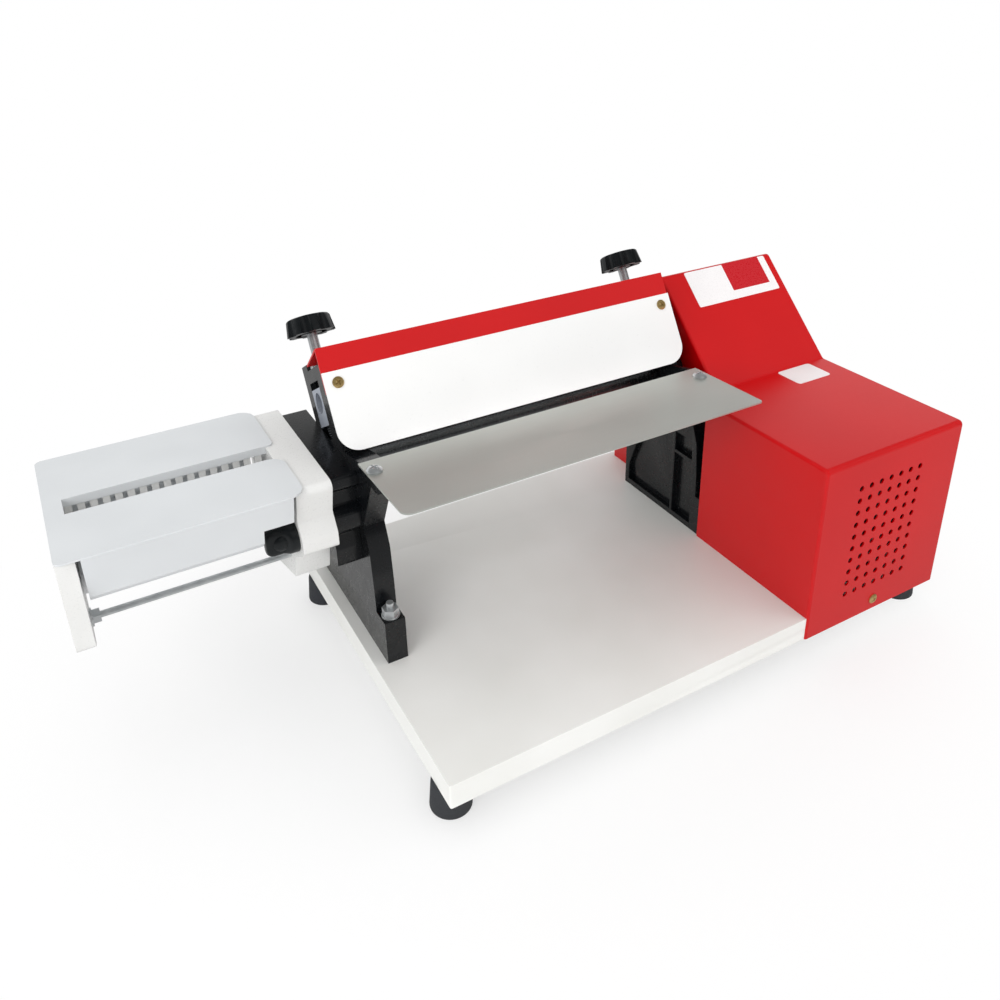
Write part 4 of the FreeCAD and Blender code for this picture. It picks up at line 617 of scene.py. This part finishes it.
@dataclass
class Studio:
    """Floor, lamps, world and the camera at the photograph's place.

    Each lamp has its watts, the side of its square in metres and its place in metres. The
    world lights the object evenly, and shiny surfaces mirror a darker room with a bright
    backdrop and one softbox.
    """

    camera_from_board_mm: tuple[float, float, float] = (-165.7, -382.9, 481.1)
    right: tuple[float, float, float] = (0.87247, -0.48817, -0.02184)
    down: tuple[float, float, float] = (-0.21732, -0.34759, -0.91211)
    ahead: tuple[float, float, float] = (0.43767, 0.80054, -0.40936)
    focal_px: float = 913.2
    shift_y: float = -0.1405
    sensor_mm: float = 36.0
    frame_px: float = 1000.0
    clip_m: tuple[float, float] = (0.01, 200.0)
    floor_m: float = 30.0
    floor_colour: str = "f8f8f8"
    floor_white_from_m: float = 0.15
    floor_white_to_m: float = 0.5
    floor_white_share: float = 0.5
    horizon_strength: float = 1.06
    ceiling_strength: float = 0.56
    ceiling_rise: tuple[float, float] = (0.35, 0.85)
    mirrored_room: float = 0.07
    mirrored_backdrop: float = 0.85
    backdrop_top: tuple[float, float] = (0.42, 0.56)
    backdrop_side: tuple[float, float] = (-0.1, 0.5)
    mirrored_softbox: float = 0.42
    softbox_edge: tuple[float, float] = (0.87, 1.0)
    softbox_way: tuple[float, float, float] = (0.2, -0.75, 0.63)
    mirrored_floor: float = 0.5
    lamps: dict[str, tuple[float, float, tuple[float, float, float]]] = field(
        default_factory=lambda: {"key": (15.0, 1.2, (-1.6, -1.0, 1.15)),
                                 "fill": (5.0, 1.4, (1.5, -0.9, 1.1)),
                                 "top": (7.0, 1.6, (0.1, 0.2, 1.9))})

    def camera(self) -> None:
        """Set the camera at the photograph's viewing angle."""
        data = bpy.data.cameras.new("camera")
        data.sensor_width = self.sensor_mm
        data.lens = self.focal_px / self.frame_px * self.sensor_mm
        data.shift_y = self.shift_y
        data.clip_start, data.clip_end = self.clip_m
        camera = bpy.data.objects.new("camera", data)
        bpy.context.scene.collection.objects.link(camera)
        columns = (Vector(self.right), -Vector(self.down), -Vector(self.ahead))
        turn = Matrix(columns).transposed().to_4x4()
        place = on_board(*self.camera_from_board_mm)
        camera.matrix_world = Matrix.Translation(place) @ turn
        bpy.context.scene.camera = camera

    def floor(self) -> None:
        """A large pale floor that turns pure white away from the object for the camera."""
        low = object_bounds()[0]
        reach = self.floor_m
        mesh = bpy.data.meshes.new("floor")
        mesh.from_pydata([(-reach, -reach, low.z), (reach, -reach, low.z), (reach, reach, low.z),
                          (-reach, reach, low.z)], [], [(0, 1, 2, 3)])
        floor = bpy.data.objects.new("floor", mesh)
        bpy.context.scene.collection.objects.link(floor)
        material = bpy.data.materials.new("paper_sweep_white")
        material.use_nodes = True
        tree = material.node_tree
        tree.nodes.clear()
        paper = add_node(tree, "ShaderNodeBsdfDiffuse", Color=linear(self.floor_colour))
        white = add_node(tree, "ShaderNodeEmission", Color=WHITE, Strength=1.0)
        place = add_node(tree, "ShaderNodeTexCoord")
        span = add_node(tree, "ShaderNodeVectorMath", {"operation": "LENGTH"},
                        links={0: place.outputs["Object"]})
        away = add_node(tree, "ShaderNodeMapRange", {"interpolation_type": "SMOOTHSTEP"},
                        links={"Value": span.outputs["Value"]}, From_Min=self.floor_white_from_m,
                        From_Max=self.floor_white_to_m, To_Min=self.floor_white_share)
        path = add_node(tree, "ShaderNodeLightPath")
        share = add_node(tree, "ShaderNodeMath", {"operation": "MULTIPLY"},
                         links={0: away.outputs["Result"], 1: path.outputs["Is Camera Ray"]})
        mix = add_node(tree, "ShaderNodeMixShader", links={0: share.outputs[0], 1: paper.outputs[0],
                                                          2: white.outputs[0]})
        dim = add_node(tree, "ShaderNodeEmission", Color=WHITE,
                       Strength=self.mirrored_floor)
        shown = add_node(tree, "ShaderNodeMixShader", links={0: path.outputs["Is Glossy Ray"],
                                                            1: mix.outputs[0], 2: dim.outputs[0]})
        add_node(tree, "ShaderNodeOutputMaterial", links={"Surface": shown.outputs[0]})
        mesh.materials.append(material)
        floor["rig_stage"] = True

    def lamp(self, name: str, watts: float, size: float,
             place: tuple[float, float, float]) -> None:
        """A square soft lamp that faces the object and that shiny surfaces don't mirror.

        Args:
            name: The lamp's name.
            watts: Its power.
            size: Its side, in metres.
            place: Where it hangs.
        """
        data = bpy.data.lights.new(name, "AREA")
        data.energy = watts
        data.size = size
        lamp = bpy.data.objects.new(name, data)
        bpy.context.scene.collection.objects.link(lamp)
        lamp.visible_glossy = False
        lamp.location = place
        lamp.rotation_mode = "QUATERNION"
        lamp.rotation_quaternion = (-Vector(place)).to_track_quat("-Z", "Y")

    def ramp(self, tree: bpy.types.NodeTree, value: bpy.types.NodeSocket,
             span: tuple[float, float], strengths: tuple[float, float]) -> bpy.types.NodeSocket:
        """A smooth change of strength.

        Args:
            tree: The world's node tree.
            value: What the strength follows.
            span: Where the change starts and where it stops.
            strengths: Strength before the start and after the stop.

        Returns:
            The socket with the strength.
        """
        node = add_node(tree, "ShaderNodeMapRange", {"interpolation_type": "SMOOTHSTEP"},
                        links={"Value": value}, From_Min=span[0], From_Max=span[1],
                        To_Min=strengths[0], To_Max=strengths[1])
        return node.outputs["Result"]

    def build(self) -> None:
        """Set up everything round the object."""
        scene = bpy.context.scene
        scene.view_settings.view_transform = "Standard"
        world = bpy.data.worlds.new("studio")
        scene.world = world
        world.use_nodes = True
        tree = world.node_tree
        tree.nodes.clear()
        path = add_node(tree, "ShaderNodeLightPath")
        place = add_node(tree, "ShaderNodeTexCoord")
        parts = add_node(tree, "ShaderNodeSeparateXYZ",
                         links={"Vector": place.outputs["Generated"]})
        sky = self.ramp(tree, parts.outputs["Z"], self.ceiling_rise,
                        (self.horizon_strength, self.ceiling_strength))
        lit = add_node(tree, "ShaderNodeBackground", links={"Strength": sky},
                       Color=WHITE)
        below = self.ramp(tree, parts.outputs["Z"], self.backdrop_top,
                          (self.mirrored_backdrop, 0.0))
        behind = self.ramp(tree, parts.outputs["Y"], self.backdrop_side, (0.0, 1.0))
        backdrop = add_node(tree, "ShaderNodeMath", {"operation": "MULTIPLY_ADD"},
                            links={0: below, 1: behind})
        backdrop.inputs[2].default_value = self.mirrored_room
        towards = add_node(tree, "ShaderNodeVectorMath", {"operation": "DOT_PRODUCT"},
                           links={0: place.outputs["Generated"]})
        towards.inputs[1].default_value = self.softbox_way
        softbox = self.ramp(tree, towards.outputs["Value"], self.softbox_edge,
                            (0.0, self.mirrored_softbox))
        room = add_node(tree, "ShaderNodeMath", {"operation": "ADD"},
                        links={0: backdrop.outputs[0], 1: softbox})
        mirrored = add_node(tree, "ShaderNodeBackground", links={"Strength": room.outputs[0]},
                            Color=WHITE)
        seen = add_node(tree, "ShaderNodeBackground", Color=WHITE, Strength=1.0)
        both = add_node(tree, "ShaderNodeMixShader",
                        links={0: path.outputs["Is Glossy Ray"], 1: lit.outputs[0],
                               2: mirrored.outputs[0]})
        mix = add_node(tree, "ShaderNodeMixShader", links={0: path.outputs["Is Camera Ray"],
                                                          1: both.outputs[0], 2: seen.outputs[0]})
        add_node(tree, "ShaderNodeOutputWorld", links={"Surface": mix.outputs[0]})
        self.camera()
        self.floor()
        for name, (watts, size, place) in self.lamps.items():
            self.lamp(name, watts, size, place)


# Sub-assemblies

@dataclass
class Baseboard:
    """The board, its feet and their screws."""

    edge_round_mm: float = 0.7
    foot_round_mm: float = 1.2

    def build(self) -> None:
        """Round the board's and the feet's edges and dress the screws."""
        softened("base_board", LAMINATE, self.edge_round_mm)
        softened("rubber_feet", RUBBER, self.foot_round_mm, 3, 50.0)
        dress("foot_screws", ZINC)


@dataclass
class Brackets:
    """The two black castings and their bolts."""

    cast_round_mm: float = 1.8
    bolt_round_mm: float = 0.5

    def build(self) -> None:
        """Round the castings and the bolts."""
        for node in ("left_bracket", "right_bracket"):
            softened(node, BLACK_CASTING, self.cast_round_mm, 3)
        softened("bracket_bolts", ZINC, self.bolt_round_mm)


@dataclass
class Housing:
    """The red sheet housing with its screws, plates, switch and gland."""

    screw: ScrewHead = field(default_factory=ScrewHead)
    block_across_shares: tuple[float, float] = (0.46, 0.92)
    block_bottom_share: float = 0.24
    front_screw_spin_degrees: float = 20.0
    side_screw_spin_degrees: float = 40.0
    front_screw_mm: tuple[float, float, float] = (385.1, -1.2, -10.0)
    side_screws_mm: tuple[tuple[float, float, float], ...] = ((460.2, 70.0, -10.0),
                                                              (460.2, 215.0, -10.0))

    def build(self) -> None:
        """Dress the sheet metal, the blank plates and the electrical fittings."""
        dress("housing_cover", RED_POWDER)
        low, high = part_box("slope_label")
        span = high - low
        left, right = (low.x + share * span.x for share in self.block_across_shares)
        bottom = low.z + self.block_bottom_share * span.z
        film = PatchedFilm("vinyl_film_printed_blank", "f3f1f1", "eeecec", 0.3, fine_mm=1.0,
                           bump=0.05, low=(left, bottom), high=(right, high.z))
        dress("slope_label", film)
        dress("rating_label", BLANK_FILM)
        places = [(on_board(*self.front_screw_mm), Vector((0, -1, 0)),
                   self.front_screw_spin_degrees)]
        places += [(on_board(*place), Vector((1, 0, 0)), self.side_screw_spin_degrees)
                   for place in self.side_screws_mm]
        self.screw.replace("housing_screws", BRASS, places)
        for node in ("power_switch", "switch_rocker", "cord_gland"):
            dress(node, BLACK_NYLON)


@dataclass
class GuardAndTray:
    """Guard, cover, tray, scraper and their screws."""

    guard_screw: ScrewHead = field(default_factory=ScrewHead)
    tray_screw: ScrewHead = field(default_factory=lambda: ScrewHead(5.6, 3.4, 1.8, 1.3, 3.4))
    guard_screws_mm: tuple[tuple[float, float, float], ...] = ((13.5, 184.2, 204.65),
                                                               (300.5, 184.2, 204.65))
    tray_screws_mm: tuple[tuple[float, float, float], ...] = ((13.0, 123.5, 163.52),
                                                              (294.5, 123.5, 163.52))
    guard_spin_degrees: float = 30.0
    tray_spin_degrees: float = 15.0
    lean_degrees: float = 30.0
    tray_degrees: float = 1.9

    def build(self) -> None:
        """Dress the sheets and set the screw heads."""
        lean = math.radians(self.lean_degrees)
        tray = math.radians(self.tray_degrees)
        out = Vector((0, -math.cos(lean), math.sin(lean)))
        up = Vector((0, math.sin(tray), math.cos(tray)))
        dress("guard_plate", WHITE_POWDER)
        dress("top_cover", RED_POWDER)
        self.guard_screw.replace("guard_screws", BRASS,
                                 [(on_board(*place), out, self.guard_spin_degrees)
                                  for place in self.guard_screws_mm])
        dress("feed_tray", STAINLESS)
        self.tray_screw.replace("tray_screws", ZINC,
                                [(on_board(*place), up, self.tray_spin_degrees)
                                 for place in self.tray_screws_mm])
        dress("lower_scraper", STAINLESS)


@dataclass
class Adjusters:
    """Hand knobs, adjusting screws, nuts, springs and slider blocks."""

    knob_round_mm: float = 1.0

    def build(self) -> None:
        """Dress both sides alike."""
        for side in ("left", "right"):
            softened(side + "_knob", KNOB_BLACK, self.knob_round_mm, 3)
            dress(side + "_adjust_screw", ZINC)
            dress(side + "_slider_block", BLOCK_ALLOY)
        dress("adjust_nuts", ZINC)
        dress("block_springs", SPRING_WIRE)


@dataclass
class Drive:
    """Rollers, gears, belt and motor."""

    def build(self) -> None:
        """Dress the turning parts."""
        # The rollers' colour is darkened as painted shade for the gap under the guard.
        for node in ("lower_roller", "upper_roller"):
            dress(node, CHROME_GROUND_PAINTED_SHADE)
        dress("shaft_bushes", BRONZE)
        for node in ("lower_sync_gear", "upper_sync_gear", "pinion", "countershaft", "motor_shaft",
                     "rotor_core", "cutter_drive_gear", "cutter_input_gear", "front_pair_gear",
                     "rear_pair_gear"):
            dress(node, GEAR_STEEL)
        dress("drive_gear", NYLON)
        for node in ("large_pulley", "motor_pulley"):
            dress(node, ALUMINIUM)
        dress("drive_belt", BELT)
        dress("drive_plate", GALVANISED)
        dress("motor_casing", MOTOR_ENAMEL)
        dress("motor_stator", WINDINGS)
        dress("drive_bolts", ZINC)
        dress("run_capacitor", CASE_PLASTIC)


@dataclass
class LockKnob:
    """The winged knob at the cutting head's end block, drawn outwards from the block."""

    stations_mm: tuple[float, ...] = (0.0, 0.6, 4.8, 5.6, 7.0, 9.0, 11.0, 14.0, 17.0, 19.0, 20.6,
                                      21.5, 22.0)
    collar_mm: float = 12.0
    rim_share: float = 0.94
    wing_half_width_mm: float = 10.5
    wing_half_thick_mm: float = 6.0
    wing_from_mm: float = 4.8
    wing_change_mm: float = 6.0
    wing_squareness: float = 1.6
    tip_from_mm: float = 17.0
    tip_reach_mm: float = 5.4
    tip_thick_share: float = 0.35
    tip_width_share: float = 0.6
    boss_mm: float = 6.2
    boss_rise_mm: float = 3.4
    boss_along_mm: float = 11.5
    boss_sunk_mm: float = 0.8
    boss_rows: int = 12
    columns: int = 72
    sharp_degrees: float = 50.0

    def stations(self) -> np.ndarray:
        """Sections of collar and wing, from the block outwards.

        The section goes from a circle at the collar to a rounded box in the wing. The change
        follows a smooth step s = 3 t squared - 2 t cubed, and the tip narrows as a quarter
        ellipse.

        Returns:
            Height, half-width, half-depth and power of each section.
        """
        away = np.array(self.stations_mm)
        share = np.clip((away - self.wing_from_mm) / self.wing_change_mm, 0.0, 1.0)
        step = 3.0 * share ** 2 - 2.0 * share ** 3
        past = np.clip(away - self.tip_from_mm, 0.0, None) / self.tip_reach_mm
        tip = np.sqrt(np.clip(1.0 - past ** 2, 0.0, 1.0))
        rim = np.where(away == away[0], self.rim_share, 1.0)
        deep = (self.collar_mm + step * (self.wing_half_width_mm - self.collar_mm)) * rim
        wide = (self.collar_mm + step * (self.wing_half_thick_mm - self.collar_mm)) * rim
        wide = wide * (self.tip_thick_share + (1.0 - self.tip_thick_share) * tip)
        deep = deep * (self.tip_width_share + (1.0 - self.tip_width_share) * tip)
        return np.stack([away * MM, wide * MM, deep * MM, 2.0 + self.wing_squareness * step],
                        axis=-1)

    def dome(self) -> np.ndarray:
        """Sections of the boss, a quarter circle stretched to its rise."""
        rise = np.linspace(0.0, np.pi / 2.0, self.boss_rows)
        half = np.cos(rise) * self.boss_mm * MM
        return np.stack([np.sin(rise) * self.boss_rise_mm * MM, half, half,
                         np.full(self.boss_rows, 2.0)], axis=-1)

    def build(self) -> None:
        """Loft collar and wing, set the boss on the wing's front, and replace the CAD node."""
        low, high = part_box("lock_knob")
        block_low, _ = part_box("cutter_end_block")
        centre = Vector((block_low.x, (low.y + high.y) / 2.0, (low.z + high.z) / 2.0))
        turn = np.array([[0.0, 0.0, -1.0], [1.0, 0.0, 0.0], [0.0, 1.0, 0.0]])
        skin = lofted(self.stations(), self.columns) @ turn.T + np.array(centre)
        body = grid_mesh("lock_knob_body", skin, True)
        front = self.wing_half_thick_mm - self.boss_sunk_mm
        seat = centre + Vector((-self.boss_along_mm, -front, 0.0)) * MM
        cap = placed(lofted(self.dome(), self.columns), seat, Vector((0, -1, 0)))
        boss = grid_mesh("lock_knob_boss", cap, True)
        new_piece("lock_knob", join("lock_knob_skin", [body, boss]), KNOB_BLACK,
                  self.sharp_degrees)


@dataclass
class CuttingHead:
    """Adapter, end pieces, sheets, combs, cutting rollers, rods and lock knob."""

    cast_round_mm: float = 1.0
    moulded_round_mm: float = 3.0

    def build(self) -> None:
        """Round the castings and mouldings and dress the rest."""
        softened("cutter_adapter", BLACK_CASTING, self.cast_round_mm)
        softened("cutter_end_block", WHITE_ABS, self.moulded_round_mm, 3)
        softened("cutter_end_plate", WHITE_ABS, self.moulded_round_mm, 3)
        LockKnob().build()
        for node in ("cutter_front_plate", "cutter_rear_plate"):
            dress(node, WHITE_ENAMEL)
        dress("cutter_combs", WHITE_ABS)
        for node in ("front_cutting_roller", "rear_cutting_roller"):
            dress(node, CUTTER_ACETAL)
        dress("cutter_tie_rods", ZINC)


def main() -> None:
    """Build every sub-assembly in order, then the studio."""
    logging.basicConfig(level=logging.INFO, format="%(name)s: %(message)s")
    for part in (Baseboard(), Brackets(), Housing(), GuardAndTray(), Adjusters(), Drive(),
                 CuttingHead()):
        part.build()
        LOG.info("built %s", type(part).__name__)
    Studio().build()


if __name__ == "__main__":
    main()
